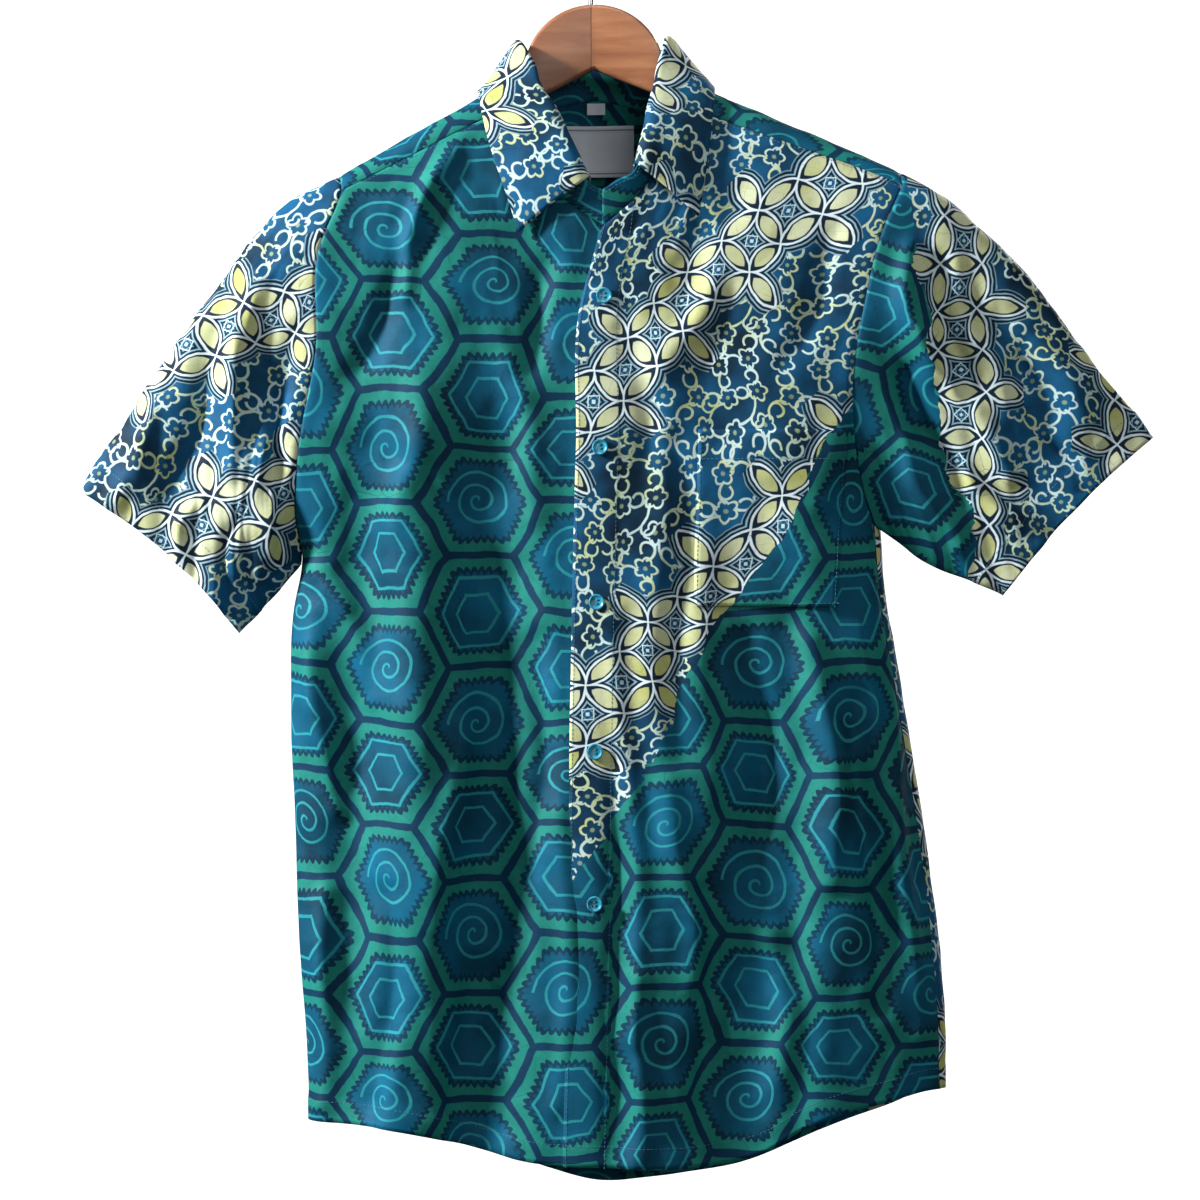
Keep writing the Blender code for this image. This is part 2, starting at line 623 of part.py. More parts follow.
def cloth_object(name, outer, inner, ring, finish):
    """A wall between two grids, closed along its borders. A ring joins its last column to its first."""
    rows, cols = outer.shape[:2]
    points = list(outer.reshape(-1, 3)) + list(inner.reshape(-1, 3))
    size = rows * cols
    spans = cols if ring else cols - 1

    def at(row, col, layer):
        return layer * size + row * cols + col % cols

    faces = []
    for row in range(rows - 1):
        for col in range(spans):
            for layer in (0, 1):
                a, b = at(row, col, layer), at(row, col + 1, layer)
                c, d = at(row + 1, col + 1, layer), at(row + 1, col, layer)
                faces += [(a, b, c), (a, c, d)]
    rims = [((row, col), (row, col + 1)) for row in (0, rows - 1) for col in range(spans)]
    if not ring:
        rims += [((row, col), (row + 1, col)) for col in (0, cols - 1) for row in range(rows - 1)]
    for first, second in rims:
        # Both pieces of a seam split their rims from the lower point, so that the rims stay parallel.
        low, high = sorted((at(*first, 0), at(*second, 0)), key=lambda n: points[n][2])
        faces += [(low, high, high + size), (low, high + size, low + size)]
    return new_object(name, points, faces, finish)


def material(name, colour, roughness, metallic=0.0):
    made = bpy.data.materials.new(name)
    made.use_nodes = True
    shader = made.node_tree.nodes["Principled BSDF"]
    shader.inputs["Base Color"].default_value = (*colour, 1)
    shader.inputs["Roughness"].default_value = roughness
    shader.inputs["Metallic"].default_value = metallic
    return made


# ---------------------------------------------------------------- what lies on the cloth

POCKET_COLUMNS = (EDGE_CELLS, EDGE_CELLS + MIDDLE_CELLS)
POCKET_ROWS = (CELLS_TO_KNEE, CELLS_TO_KNEE + CELLS_TO_UNDERARM + CELLS_TO_CHEST)
LAYER_GAP = 0.35
LABEL_X, LABEL_DROPS = (-17.0, 34.0), (146.0, 183.0)
TAB_X, TAB_DROPS = (0.0, 13.0), (130.0, 138.0)
LABEL_WALL, LABEL_CLEAR = 0.8, 1.5


def pocket_solid(front_solid):
    """The patch pocket, from the points of the front that it lies on, moved out."""
    outer, inner = front_solid
    rows = slice(POCKET_ROWS[0], POCKET_ROWS[1] + 1)
    cols = slice(POCKET_COLUMNS[0], POCKET_COLUMNS[1] + 1)
    out = outer[rows, cols] - inner[rows, cols]
    out /= np.linalg.norm(out, axis=2, keepdims=True)
    base = outer[rows, cols] + out * LAYER_GAP
    return base + out * WALL, base


def label_solid(spans, drops, clear):
    """A flat patch on the inside of the back yoke."""
    xs = np.linspace(*spans, 7)
    zs = np.linspace(*drops, 4)
    grid = np.array([[body_points(x, z, BACK) for x in xs] for z in zs])
    grid[..., 1] -= WALL + clear
    behind = grid.copy()
    grid[..., 1] -= LABEL_WALL
    return grid, behind


BUTTON_DROPS = (274.0, 382.0, 492.0, 598.0, 706.0)
BUTTON_RADIUS, BUTTON_RIM, BUTTON_DISH = 5.7, 2.4, 1.5
BUTTON_HOLE_RADIUS, BUTTON_HOLE_SPACING, BUTTON_SIDES = 0.85, 1.35, 20
BUTTON_CLEAR = 0.5


def button_mesh():
    """A turned disc with a dished face and four holes, lying in XY with its face to +Z."""
    profile = [(BUTTON_RADIUS - 0.5, 0), (BUTTON_RADIUS, 0.6), (BUTTON_RADIUS, BUTTON_RIM - 0.7),
               (BUTTON_RADIUS - 0.9, BUTTON_RIM), (BUTTON_RADIUS - 1.9, BUTTON_DISH)]
    work = bmesh.new()
    rings = []
    for radius, height in profile:
        rings.append([
            work.verts.new((radius * math.cos(a) * MM, radius * math.sin(a) * MM, height * MM))
            for a in (2 * math.pi * n / BUTTON_SIDES for n in range(BUTTON_SIDES))
        ])
    for low, high in zip(rings, rings[1:]):
        for n in range(BUTTON_SIDES):
            m = (n + 1) % BUTTON_SIDES
            work.faces.new((low[n], low[m], high[m], high[n]))
    work.faces.new(rings[0][::-1])
    work.faces.new(rings[-1])
    mesh = bpy.data.meshes.new("button")
    work.to_mesh(mesh)
    work.free()
    return mesh


def add_buttons(finish):
    """Five four-hole buttons down the centre line, on the left front, which laps over the right."""
    cutter_mesh = bpy.data.meshes.new("button_holes")
    work = bmesh.new()
    for n in range(4):
        turn = math.pi / 4 + n * math.pi / 2
        place = Matrix.Translation(
            Vector((math.cos(turn), math.sin(turn), 0)) * BUTTON_HOLE_SPACING * math.sqrt(2) * MM
            + Vector((0, 0, BUTTON_RIM / 2 * MM))
        )
        bmesh.ops.create_cone(
            work, cap_ends=True, segments=8, radius1=BUTTON_HOLE_RADIUS * MM, radius2=BUTTON_HOLE_RADIUS * MM,
            depth=3 * BUTTON_RIM * MM, matrix=place,
        )
    work.to_mesh(cutter_mesh)
    work.free()
    mesh = button_mesh()
    mesh.materials.append(finish)
    for number, drop in enumerate(BUTTON_DROPS, 1):
        x = float(curve(drop, CENTRE, "x"))
        here, beside, below = (
            Vector(body_points(x + dx, drop + dz, FRONT)) for dx, dz in ((0, 0), (4, 0), (0, 4))
        )
        out = (below - here).cross(beside - here).normalized()
        if out.y > 0:
            out.negate()
        turned = out.to_track_quat("Z", "X").to_matrix().to_4x4()
        place = Matrix.Translation((here + out * BUTTON_CLEAR) * MM) @ turned
        item = bpy.data.objects.new(f"button_{number}", mesh)
        item.matrix_world = place
        bpy.context.scene.collection.objects.link(item)
        cutter = bpy.data.objects.new(f"button_holes_{number}", cutter_mesh)
        cutter.matrix_world = place
        cutter.hide_render = True
        cutter.display_type = "WIRE"
        bpy.context.scene.collection.objects.link(cutter)
        cut = item.modifiers.new("holes", "BOOLEAN")
        cut.operation = "DIFFERENCE"
        cut.object = cutter


# ---------------------------------------------------------------- hanger and hook

HANGER_TILT_DEG = 2.8
HANGER_HALF_LENGTH = 211.0
HANGER_TOP_DROP, HANGER_ARC_RADIUS = 62.0, 51.0
ARM_TOP_DROP, ARM_TOP_SLOPE, ARM_DROOP, ARM_DROOP_FROM = 95.2, 0.4986, 0.0016, 140.0
ARM_LOW_DROP, ARM_LOW_SLOPE, ARM_LOW_STEEPER, ARM_LOW_STEEPER_FROM = 108.8, 0.462, 0.09, 50.0
WOOD_HALF_THICKNESS, WOOD_ROUND = 6.4, 3.6
WOOD_STATIONS = (0, 12, 23, 32, 39, 45, 49, 51.5, 54, 62, 76, 96, 120, 146, 172, 194, 205, 211)
HOOK_RADIUS, HOOK_WIRE_RADIUS = 21.0, 2.0
HOOK_OPEN_DEG = 200.0


def wood_top(x):
    """The hanger's top edge as a drop: an arc over the middle, then the arms."""
    x = abs(x)
    if x < HANGER_ARC_RADIUS - 0.1:
        return HANGER_TOP_DROP + HANGER_ARC_RADIUS - math.sqrt(HANGER_ARC_RADIUS**2 - x * x)
    return ARM_TOP_DROP + ARM_TOP_SLOPE * x + ARM_DROOP * max(0, x - ARM_DROOP_FROM) ** 2


def add_hanger(finish):
    """The wooden hanger, made of rounded sections along X, then tilted about the hook."""
    places = [-x for x in reversed(WOOD_STATIONS[1:])] + list(WOOD_STATIONS)
    points, faces = [], []
    for x in places:
        top, low = -wood_top(x), -(ARM_LOW_DROP + ARM_LOW_SLOPE * abs(x)
                                   + ARM_LOW_STEEPER * max(0, abs(x) - ARM_LOW_STEEPER_FROM))
        if abs(x) == HANGER_HALF_LENGTH:
            top, low = top - 3, low + 3
        half, chamfer = WOOD_HALF_THICKNESS, WOOD_ROUND
        ring = [(-half + chamfer, top), (half - chamfer, top), (half, top - chamfer), (half, low + chamfer),
                (half - chamfer, low), (-half + chamfer, low), (-half, low + chamfer), (-half, top - chamfer)]
        points += [(x, y + hanger_forward(x), z) for y, z in ring]
    for station in range(len(places) - 1):
        for n in range(8):
            m = (n + 1) % 8
            faces.append([station * 8 + n, station * 8 + m, station * 8 + 8 + m, station * 8 + 8 + n])
    faces.append(list(range(8)))
    faces.append([len(points) - 8 + n for n in reversed(range(8))])
    tilt = Matrix.Rotation(-math.radians(HANGER_TILT_DEG), 3, "Y")
    return new_object("hanger", [tilt @ Vector(p) for p in points], faces, finish)


def add_hook(finish):
    """The wire hook: a shank out of the wood and a round bend over the rail, tilted with the wood."""
    inside_top = HOOK_RADIUS - HOOK_WIRE_RADIUS
    path = [(0, -HANGER_TOP_DROP + SEAM_GAP), (0, -HANGER_TOP_DROP + 8)]
    low = -inside_top - HOOK_RADIUS
    path += [(0, low - 7), (-3, low - 1.5)]
    steps = 14
    for n in range(steps + 1):
        angle = math.radians(-110 - n * HOOK_OPEN_DEG / steps)
        path.append((HOOK_RADIUS * math.cos(angle), -inside_top + HOOK_RADIUS * math.sin(angle)))
    tilt = Matrix.Rotation(-math.radians(HANGER_TILT_DEG), 3, "Y")
    wire = bpy.data.curves.new("hook", "CURVE")
    wire.dimensions = "3D"
    wire.bevel_depth = HOOK_WIRE_RADIUS * MM
    wire.bevel_resolution = 2
    wire.use_fill_caps = True
    line = wire.splines.new("POLY")
    line.points.add(len(path) - 1)
    for point, (x, z) in zip(line.points, path):
        point.co = (*(tilt @ Vector((x, 0, z)) * MM), 1)
    wire.materials.append(finish)
    item = bpy.data.objects.new("hook", wire)
    bpy.context.scene.collection.objects.link(item)
    return item


# ---------------------------------------------------------------- the whole object


def main():
    for item in list(bpy.data.objects):
        bpy.data.objects.remove(item)
    hexagons = material("hexagon_batik", (0.01, 0.13, 0.2), 0.6)
    floral = material("floral_batik", (0.12, 0.22, 0.27), 0.6)
    woven = material("woven_label", (0.55, 0.56, 0.6), 0.7)
    buttons = material("button_resin", (0.02, 0.2, 0.28), 0.35)
    wood = material("hanger_wood", (0.5, 0.25, 0.13), 0.45)
    wire = material("hook_wire", (0.7, 0.7, 0.7), 0.25, 1.0)

    fronts = {side: front_grid(side) for side in (RIGHT, LEFT)}
    back = back_grid()
    yoke = yoke_grid(back, fronts)
    stand = stand_grid(neck_seam(fronts, yoke))
    grids = {
        "front_right": fronts[RIGHT],
        "front_left": fronts[LEFT],
        "back": back,
        "yoke": yoke,
        "sleeve_right": sleeve_grid(RIGHT, fronts[RIGHT], back, yoke),
        "sleeve_left": sleeve_grid(LEFT, fronts[LEFT], back, yoke),
        "collar_stand": stand,
        "collar_leaf": leaf_grid(stand),
    }
    flips = {"front_right": 1, "front_left": -1, "back": -1, "yoke": -1, "sleeve_right": -1, "sleeve_left": 1,
             "collar_stand": -1, "collar_leaf": -1}
    rings = ("sleeve_right", "sleeve_left")
    solids = sew(grids, flips, rings)
    for name, (outer, inner) in solids.items():
        plain = name in ("front_right", "yoke", "collar_stand", "back")
        cloth_object(name, outer, inner, name in rings, hexagons if plain else floral)
    cloth_object("pocket", *pocket_solid(solids["front_left"]), False, floral)
    cloth_object("neck_label", *label_solid(LABEL_X, LABEL_DROPS, LABEL_CLEAR), False, woven)
    cloth_object("size_tab", *label_solid(TAB_X, TAB_DROPS, LABEL_CLEAR), False, woven)
    add_buttons(buttons)
    add_hanger(wood)
    add_hook(wire)


main()
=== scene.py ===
"""A short-sleeved batik shirt on its hanger: the cloth, its print and its sewing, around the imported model."""

import math
from collections import namedtuple

import bmesh
import bpy
import numpy as np
from mathutils import Matrix, Vector


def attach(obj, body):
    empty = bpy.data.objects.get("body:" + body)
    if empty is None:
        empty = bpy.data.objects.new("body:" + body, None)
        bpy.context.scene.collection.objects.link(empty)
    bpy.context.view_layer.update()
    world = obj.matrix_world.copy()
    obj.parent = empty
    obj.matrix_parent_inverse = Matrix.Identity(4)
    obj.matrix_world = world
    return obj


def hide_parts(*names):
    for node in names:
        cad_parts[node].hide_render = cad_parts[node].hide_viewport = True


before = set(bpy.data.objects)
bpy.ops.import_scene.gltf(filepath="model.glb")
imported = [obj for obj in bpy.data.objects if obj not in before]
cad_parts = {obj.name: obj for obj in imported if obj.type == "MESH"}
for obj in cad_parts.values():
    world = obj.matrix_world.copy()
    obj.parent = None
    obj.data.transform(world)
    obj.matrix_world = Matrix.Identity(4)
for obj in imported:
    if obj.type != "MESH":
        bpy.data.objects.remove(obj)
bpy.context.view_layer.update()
MM = 0.001

# ---- The fronts
# Two panels of thin printed cotton, hanging from the yoke and the armholes. Each has its front
# edge turned in and stitched as a placket, and the left one laps over the right.
RIGHT, LEFT = -1, 1
FRONT, BACK = -1, 1
CLOTH = 0.85

# The side edge in the front view: the armhole, then the side seam. A drop is the distance below
# the rail, and every table is in millimetres.
Edge = namedtuple("Edge", "drop x")
SIDE_EDGE = {
    RIGHT: [
        Edge(180, -172), Edge(201, -176), Edge(240, -191), Edge(311, -193),
        Edge(385, -206), Edge(426, -209), Edge(465, -205), Edge(498, -211),
        Edge(562, -213), Edge(649, -210), Edge(735, -207), Edge(822, -201), Edge(870, -200),
    ],
    LEFT: [
        Edge(180, 232), Edge(195, 225), Edge(226, 212), Edge(284, 203),
        Edge(316, 201), Edge(380, 205), Edge(438, 211), Edge(476, 214),
        Edge(562, 228), Edge(649, 242), Edge(735, 253), Edge(800, 258), Edge(850, 258),
    ],
}
UNDERARM_DROP = {RIGHT: 465, LEFT: 438}
SIDE_HEM_DROP = {RIGHT: 863, LEFT: 841}
ARMHOLE_TOP_DROP = {RIGHT: 200, LEFT: 195}
SIDE_SEAM_DEG = {RIGHT: 0.0, LEFT: 12.0}
ARMHOLE_TOP_DEG, ARMHOLE_TURN, SECTION_POWER = 62.0, 2.2, 2.6

# The centre line, and how far each front passes over it.
Centre = namedtuple("Centre", "drop x left_passes right_passes")
CENTRE = [
    Centre(225, 12.5, 1.5, 1.0), Centre(250, 12.4, 9.0, 7.0), Centre(276, 12.2, 16.0, 12.0),
    Centre(382, 9.4, 17.0, 13.0), Centre(598, 5.8, 18.0, 13.0), Centre(706, 5.5, 18.5, 13.0),
    Centre(893, 2.0, 19.0, 13.0),
]
NECK_DROP, UNDERLAP_SET_BACK, UNDERLAP_EASE = 225, 2.6, 24.0

# The shoulder line, where the cloth turns over the wood, and the body's depth below it.
Ridge = namedtuple("Ridge", "x drop")
RIDGE = [
    Ridge(-260, 234), Ridge(-192, 195.2), Ridge(-116, 151.5), Ridge(-77, 129), Ridge(-38, 107),
    Ridge(3, 91), Ridge(45, 106), Ridge(92, 126.8), Ridge(151, 152), Ridge(202, 174),
    Ridge(229, 187), Ridge(262, 206),
]
SHOULDER_V, SHOULDER_BOW, FORWARD_FADE = 0.055, 0.00012, 160.0
RIDGE_REACH, RIDGE_FADE = 12.5, 7.0
BODY_REACH, BODY_FADE = {FRONT: 44.0, BACK: 38.0}, 110.0
NECK_SWELL, NECK_SWELL_DROP, NECK_SWELL_SIZE = 11.0, 165.0, 68.0

# The folds that hang down the body: their places and depths at three drops. Then the hem.
Fold = namedtuple("Fold", "x_top x_mid x_hem depth_top depth_mid depth_hem width")
FOLD_DROPS = (205, 540, 880)
FOLDS = {
    FRONT: [
        Fold(-98, -122, -146, 3.0, 8.0, 13.0, 24),
        Fold(-40, -60, -66, -2.0, -7.0, -11.0, 27),
        Fold(-150, -166, -184, 0.0, -6.0, -4.0, 17),
        Fold(9, 8, 3, 0.0, 3.0, 5.0, 25),
        Fold(52, 50, 52, 0.5, 4.0, 6.0, 20),
        Fold(84, 98, 106, -2.0, -6.0, -9.0, 25),
        Fold(130, 160, 168, 2.0, 6.0, 8.0, 25),
        Fold(180, 205, 218, 0.0, -4.0, -5.0, 15),
    ],
    BACK: [
        Fold(-130, -150, -160, 0.0, 6.0, 9.0, 24),
        Fold(-80, -95, -104, -1.0, -6.0, -10.0, 25),
        Fold(-30, -38, -44, 1.0, 6.0, 9.0, 26),
        Fold(25, 18, 14, -1.0, -5.0, -9.0, 24),
        Fold(70, 76, 80, 1.0, 6.0, 10.0, 25),
        Fold(120, 134, 142, -1.0, -6.0, -9.0, 24),
        Fold(160, 188, 200, 0.0, 5.0, 7.0, 22),
    ],
}
Hem = namedtuple("Hem", "x drop")
HEM = {
    FRONT: [
        Hem(-205, 863), Hem(-140, 867), Hem(-96, 876), Hem(-44, 890), Hem(10, 893), Hem(82, 893),
        Hem(126, 884), Hem(150, 869), Hem(215, 848), Hem(248, 841), Hem(262, 841),
    ],
}

# The neck, and the seams that join the fronts to the yoke.
NECK_MIDDLE_X, NECK_HALF_WIDTH, NECK_CORNER_DEG = 3.0, 72.0, 20.0
NECKLINE_POWER = 0.55
FRONT_SEAM_FALL = {RIGHT: (12.0, 20.0), LEFT: (9.0, 20.0)}

# The net's lines down the body, its cells between them, and how finely each cell is cut.
Line = namedtuple("Line", "drop outer neck")
LINES = {
    RIGHT: [Line(130, -128, -64.7), Line(200, -138, -66), Line(380, -162, -70), Line(880, -164, -78)],
    LEFT: [
        Line(130, 150, 70.7), Line(200, 172, 74), Line(369, 184, 79), Line(495, 178, 76), Line(880, 192, 80),
    ],
}
EDGE_CELLS, MIDDLE_CELLS, NECK_CELLS = 4, 4, 6
CORNER = EDGE_CELLS + MIDDLE_CELLS
CENTRE_COLUMN = CORNER + NECK_CELLS
CELLS_TO_KNEE, CELLS_TO_UNDERARM, CELLS_TO_CHEST, CELLS_TO_TOP = 11, 2, 2, 5
KNEE_DROP = {RIGHT: 520, LEFT: 495}
CHEST_DROP = {RIGHT: 392, LEFT: 369}
FINE_ACROSS, FINE_DOWN = 6, 10


drawn_curves = {}


def curve(at, rows, column, key=0):
    """The value of a table's column at a place, on a smooth curve through its rows."""
    if (id(rows), column) not in drawn_curves:
        knots = np.array([row[key] for row in rows], float)
        values = np.array([getattr(row, column) for row in rows], float)
        drawn_curves[id(rows), column] = knots, values, np.gradient(values, knots)
    knots, values, slopes = drawn_curves[id(rows), column]
    at = np.clip(np.asarray(at, float), knots[0], knots[-1])
    k = np.clip(np.searchsorted(knots, at, side="right") - 1, 0, len(knots) - 2)
    span = knots[k + 1] - knots[k]
    t = (at - knots[k]) / span
    return (
        (1 + 2 * t) * (1 - t) ** 2 * values[k]
        + t * (1 - t) ** 2 * span * slopes[k]
        + t * t * (3 - 2 * t) * values[k + 1]
        + t * t * (t - 1) * span * slopes[k + 1]
    )


def blend(a, b, t):
    return a + (b - a) * t


def hanger_forward(x):
    return -(SHOULDER_V * np.abs(x) + SHOULDER_BOW * x * x)


def edge_angle(side, drop, face, outline=False):
    """The angle round the body of a panel's edge: the side seam, then its armhole."""
    seam = math.radians(SIDE_SEAM_DEG[side])
    low, high = UNDERARM_DROP[side], ARMHOLE_TOP_DROP[side]
    t = np.clip((low - np.asarray(drop, float)) / (low - high), 0, 1)
    turn = 1 - (1 - t) ** ARMHOLE_TURN
    top = math.radians(ARMHOLE_TOP_DEG) * (1 if face == FRONT else -1)
    return top * turn if outline else seam + (top - seam) * turn


def half_width(side, drop):
    edge = curve(drop, SIDE_EDGE[side], "x") - curve(drop, CENTRE, "x")
    return edge / np.cos(edge_angle(side, drop, FRONT, True))


def fold_depth(x, drop, face):
    total = np.zeros(np.broadcast(x, drop).shape)
    for fold in FOLDS[face]:
        middle = np.interp(drop, FOLD_DROPS, (fold.x_top, fold.x_mid, fold.x_hem))
        depth = np.interp(drop, FOLD_DROPS, (fold.depth_top, fold.depth_mid, fold.depth_hem))
        total = total + depth * np.exp(-(((x - middle) / fold.width) ** 2))
    return total


def body_y(x, drop, face):
    """The body's outside at a place in the front view, on its front or its back."""
    centre = curve(drop, CENTRE, "x")
    width = np.where(x < centre, half_width(RIGHT, drop), half_width(LEFT, drop))
    across = np.clip(np.abs((x - centre) / width), 0, 1)
    round_off = (1 - across**SECTION_POWER) ** (1 / SECTION_POWER)
    fall = np.maximum(drop - curve(x, RIDGE, "drop"), 0)
    near = RIDGE_REACH * np.sqrt(1 - np.exp(-fall / RIDGE_FADE))
    swell = NECK_SWELL * np.exp(
        -(((x - NECK_MIDDLE_X) / NECK_SWELL_SIZE) ** 2) - ((drop - NECK_SWELL_DROP) / NECK_SWELL_SIZE) ** 2
    ) * np.clip(fall / RIDGE_FADE, 0, 1)
    depth = near + (BODY_REACH[face] - RIDGE_REACH) * (1 - np.exp(-fall / BODY_FADE)) + swell
    outwards = face * (depth + fold_depth(x, drop, face)) * round_off
    return hanger_forward(x) * np.exp(-fall / FORWARD_FADE) + outwards


def body_points(x, drop, front):
    """Points of the body; front says for each whether it is on the front or on the back."""
    x, drop, front = np.broadcast_arrays(np.asarray(x, float), np.asarray(drop, float), front)
    y = np.where(front, body_y(x, drop, FRONT), body_y(x, drop, BACK))
    return np.stack([x, y, -drop], axis=-1)


def column_x(side, column, drop, face):
    """(x, whether in front) of a grid line at drops: columns are counted from the side inwards."""
    drop = np.asarray(drop, float)
    centre = curve(drop, CENTRE, "x")
    outer = curve(drop, LINES[side], "outer")
    neck = curve(drop, LINES[side], "neck")
    facing = np.full(drop.shape, face == FRONT)
    if column <= EDGE_CELLS:
        width = half_width(side, drop)
        last = np.arccos(np.clip((outer - centre) / width, -1, 1)) * (1 if face == FRONT else -1)
        angle = blend(edge_angle(side, drop, face), last, column / EDGE_CELLS)
        return centre + width * np.cos(angle), angle > 0
    if column <= CORNER:
        return blend(outer, neck, (column - EDGE_CELLS) / MIDDLE_CELLS), facing
    if face == BACK:
        end = centre
    elif side == LEFT:
        end = centre - curve(drop, CENTRE, "left_passes")
    else:
        end = centre + curve(drop, CENTRE, "right_passes")
    return blend(neck, end, (column - CORNER) / NECK_CELLS), facing


def neck_corner(side):
    x = NECK_MIDDLE_X + side * NECK_HALF_WIDTH * math.cos(math.radians(NECK_CORNER_DEG))
    return x, float(curve(x, RIDGE, "drop")) + FRONT_SEAM_FALL[side][1]


def front_top_drop(side, x):
    """The front's top edge: the yoke seam as far as the neck corner, then the neckline."""
    corner_x, corner_drop = neck_corner(side)
    if abs(x - NECK_MIDDLE_X) >= abs(corner_x - NECK_MIDDLE_X):
        edge = float(curve(ARMHOLE_TOP_DROP[side], SIDE_EDGE[side], "x"))
        share = min(1.0, (x - edge) / (corner_x - edge))
        return float(curve(x, RIDGE, "drop")) + blend(*FRONT_SEAM_FALL[side], share)
    end = CENTRE[0].x + (CENTRE[0].right_passes if side == RIGHT else -CENTRE[0].left_passes)
    share = min(1.0, max(0.0, (x - end) / (corner_x - end)))
    return corner_drop + (NECK_DROP - corner_drop) * (1 - share) ** NECKLINE_POWER


def settle(side, column, face, drop_at, start):
    drop = start
    for _ in range(12):
        drop = blend(drop, float(drop_at(float(column_x(side, column, drop, face)[0]))), 0.7)
    return drop


def hem_drop(side, column, face):
    if column == 0:
        return SIDE_HEM_DROP[side]
    return settle(side, column, face, lambda x: curve(x, HEM[face], "drop"), 870)


def spread(levels, cells):
    """Drops down a grid line: evenly spaced fine cells between the levels."""
    parts = [np.linspace(a, b, n * FINE_DOWN + 1)[1:] for a, b, n in zip(levels, levels[1:], cells)]
    return np.concatenate([[levels[0]], *parts])


def front_grid(side):
    """Rows from hem to top, columns from the side edge to the centre."""
    columns = []
    for column in np.linspace(0, CENTRE_COLUMN, CENTRE_COLUMN * FINE_ACROSS + 1):
        top = settle(side, column, FRONT, lambda x: front_top_drop(side, x), 190)
        levels = (hem_drop(side, column, FRONT), KNEE_DROP[side], UNDERARM_DROP[side], CHEST_DROP[side], top)
        drops = spread(levels, (CELLS_TO_KNEE, CELLS_TO_UNDERARM, CELLS_TO_CHEST, CELLS_TO_TOP))
        x, facing = column_x(side, column, drops, FRONT)
        columns.append(body_points(x, drops, facing))
    grid = np.array(columns).transpose(1, 0, 2)
    if side == RIGHT:
        drop = -grid[..., 2]
        edge = curve(drop, CENTRE, "x") - curve(drop, CENTRE, "left_passes")
        under = np.clip((grid[..., 0] - edge) / UNDERLAP_EASE + 1, 0, 1)
        grid[..., 1] += UNDERLAP_SET_BACK * under * under * (3 - 2 * under)
    return grid


class Dye:
    """A number in a finish's node tree. Plain arithmetic on it adds Math nodes."""

    def __init__(self, finish, socket):
        self.finish, self.socket = finish, socket

    def math(self, operation, *others, clamp=False):
        return self.finish.math(operation, self, *others, clamp=clamp)

    def __add__(self, other):
        return self.math("ADD", other)

    def __sub__(self, other):
        return self.math("SUBTRACT", other)

    def __mul__(self, other):
        return self.math("MULTIPLY", other)

    def __truediv__(self, other):
        return self.math("DIVIDE", other)

    def __radd__(self, other):
        return self.finish.math("ADD", other, self)

    def __rsub__(self, other):
        return self.finish.math("SUBTRACT", other, self)

    def __rmul__(self, other):
        return self.finish.math("MULTIPLY", other, self)

    def __rtruediv__(self, other):
        return self.finish.math("DIVIDE", other, self)

    def __abs__(self):
        return self.math("ABSOLUTE")

    def wrap(self, half):
        return self.math("WRAP", half, -half)

    def sin(self):
        return self.math("SINE")

    def cos(self):
        return self.math("COSINE")

    def over(self, limit):
        return self.math("GREATER_THAN", limit)

    def inside(self, soft=0.3):
        """1 where this signed distance is below nought, through a soft edge."""
        return self.math("MULTIPLY_ADD", -1.0 / soft, 0.5, clamp=True)


class Finish:
    """A material's node tree: one method for Math, one for any other node."""

    def __init__(self, name, roughness=0.5, group=None, **constants):
        if group:
            self.tree = group
            return
        self.material = bpy.data.materials.new(name)
        self.material.use_nodes = True
        self.tree = self.material.node_tree
        self.shader = self.tree.nodes["Principled BSDF"]
        self.shader.inputs["Roughness"].default_value = roughness
        for socket, value in constants.items():
            self.shader.inputs[socket.replace("_", " ")].default_value = value

    def fill(self, socket, value):
        if isinstance(value, Dye):
            value = value.socket
        if isinstance(value, bpy.types.NodeSocket):
            self.tree.links.new(value, socket)
        elif isinstance(value, str):
            socket.default_value = colour(value)
        else:
            socket.default_value = value

    def node(self, kind, settings=None, **inputs):
        made = self.tree.nodes.new("ShaderNode" + kind)
        for name, value in (settings or {}).items():
            setattr(made, name, value)
        for name, value in inputs.items():
            key = int(name[1:]) if name[1:].isdigit() and name[0] == "_" else name.replace("_", " ")
            self.fill(made.inputs[key], value)
        return made

    def math(self, operation, *values, clamp=False):
        made = self.tree.nodes.new("ShaderNodeMath")
        made.operation, made.use_clamp = operation, clamp
        for socket, value in zip(made.inputs, values):
            self.fill(socket, value)
        return Dye(self, made.outputs[0])

    def number(self, socket):
        return Dye(self, socket)

    def mix(self, factor, under, over):
        """The under colour, with the over colour laid on it where the factor is 1."""
        made = self.node("Mix", {"data_type": "RGBA"}, _0=factor, _6=under, _7=over)
        return made.outputs[2]

    def noise(self, vector, scale, detail=2.0, rough=0.5):
        made = self.node("TexNoise", None, Vector=vector, Scale=scale, Detail=detail, Roughness=rough)
        return self.number(made.outputs["Fac"])

    def bump(self, height, distance, strength=1.0, normal=None):
        made = self.node("Bump", None, Height=height, Distance=distance, Strength=strength)
        if normal:
            self.fill(made.inputs["Normal"], normal)
        return made.outputs["Normal"]

    def paint(self, base, rough=None, normal=None):
        for name, value in (("Base Color", base), ("Roughness", rough), ("Normal", normal)):
            if value is not None:
                self.fill(self.shader.inputs[name], value)
        return self.material


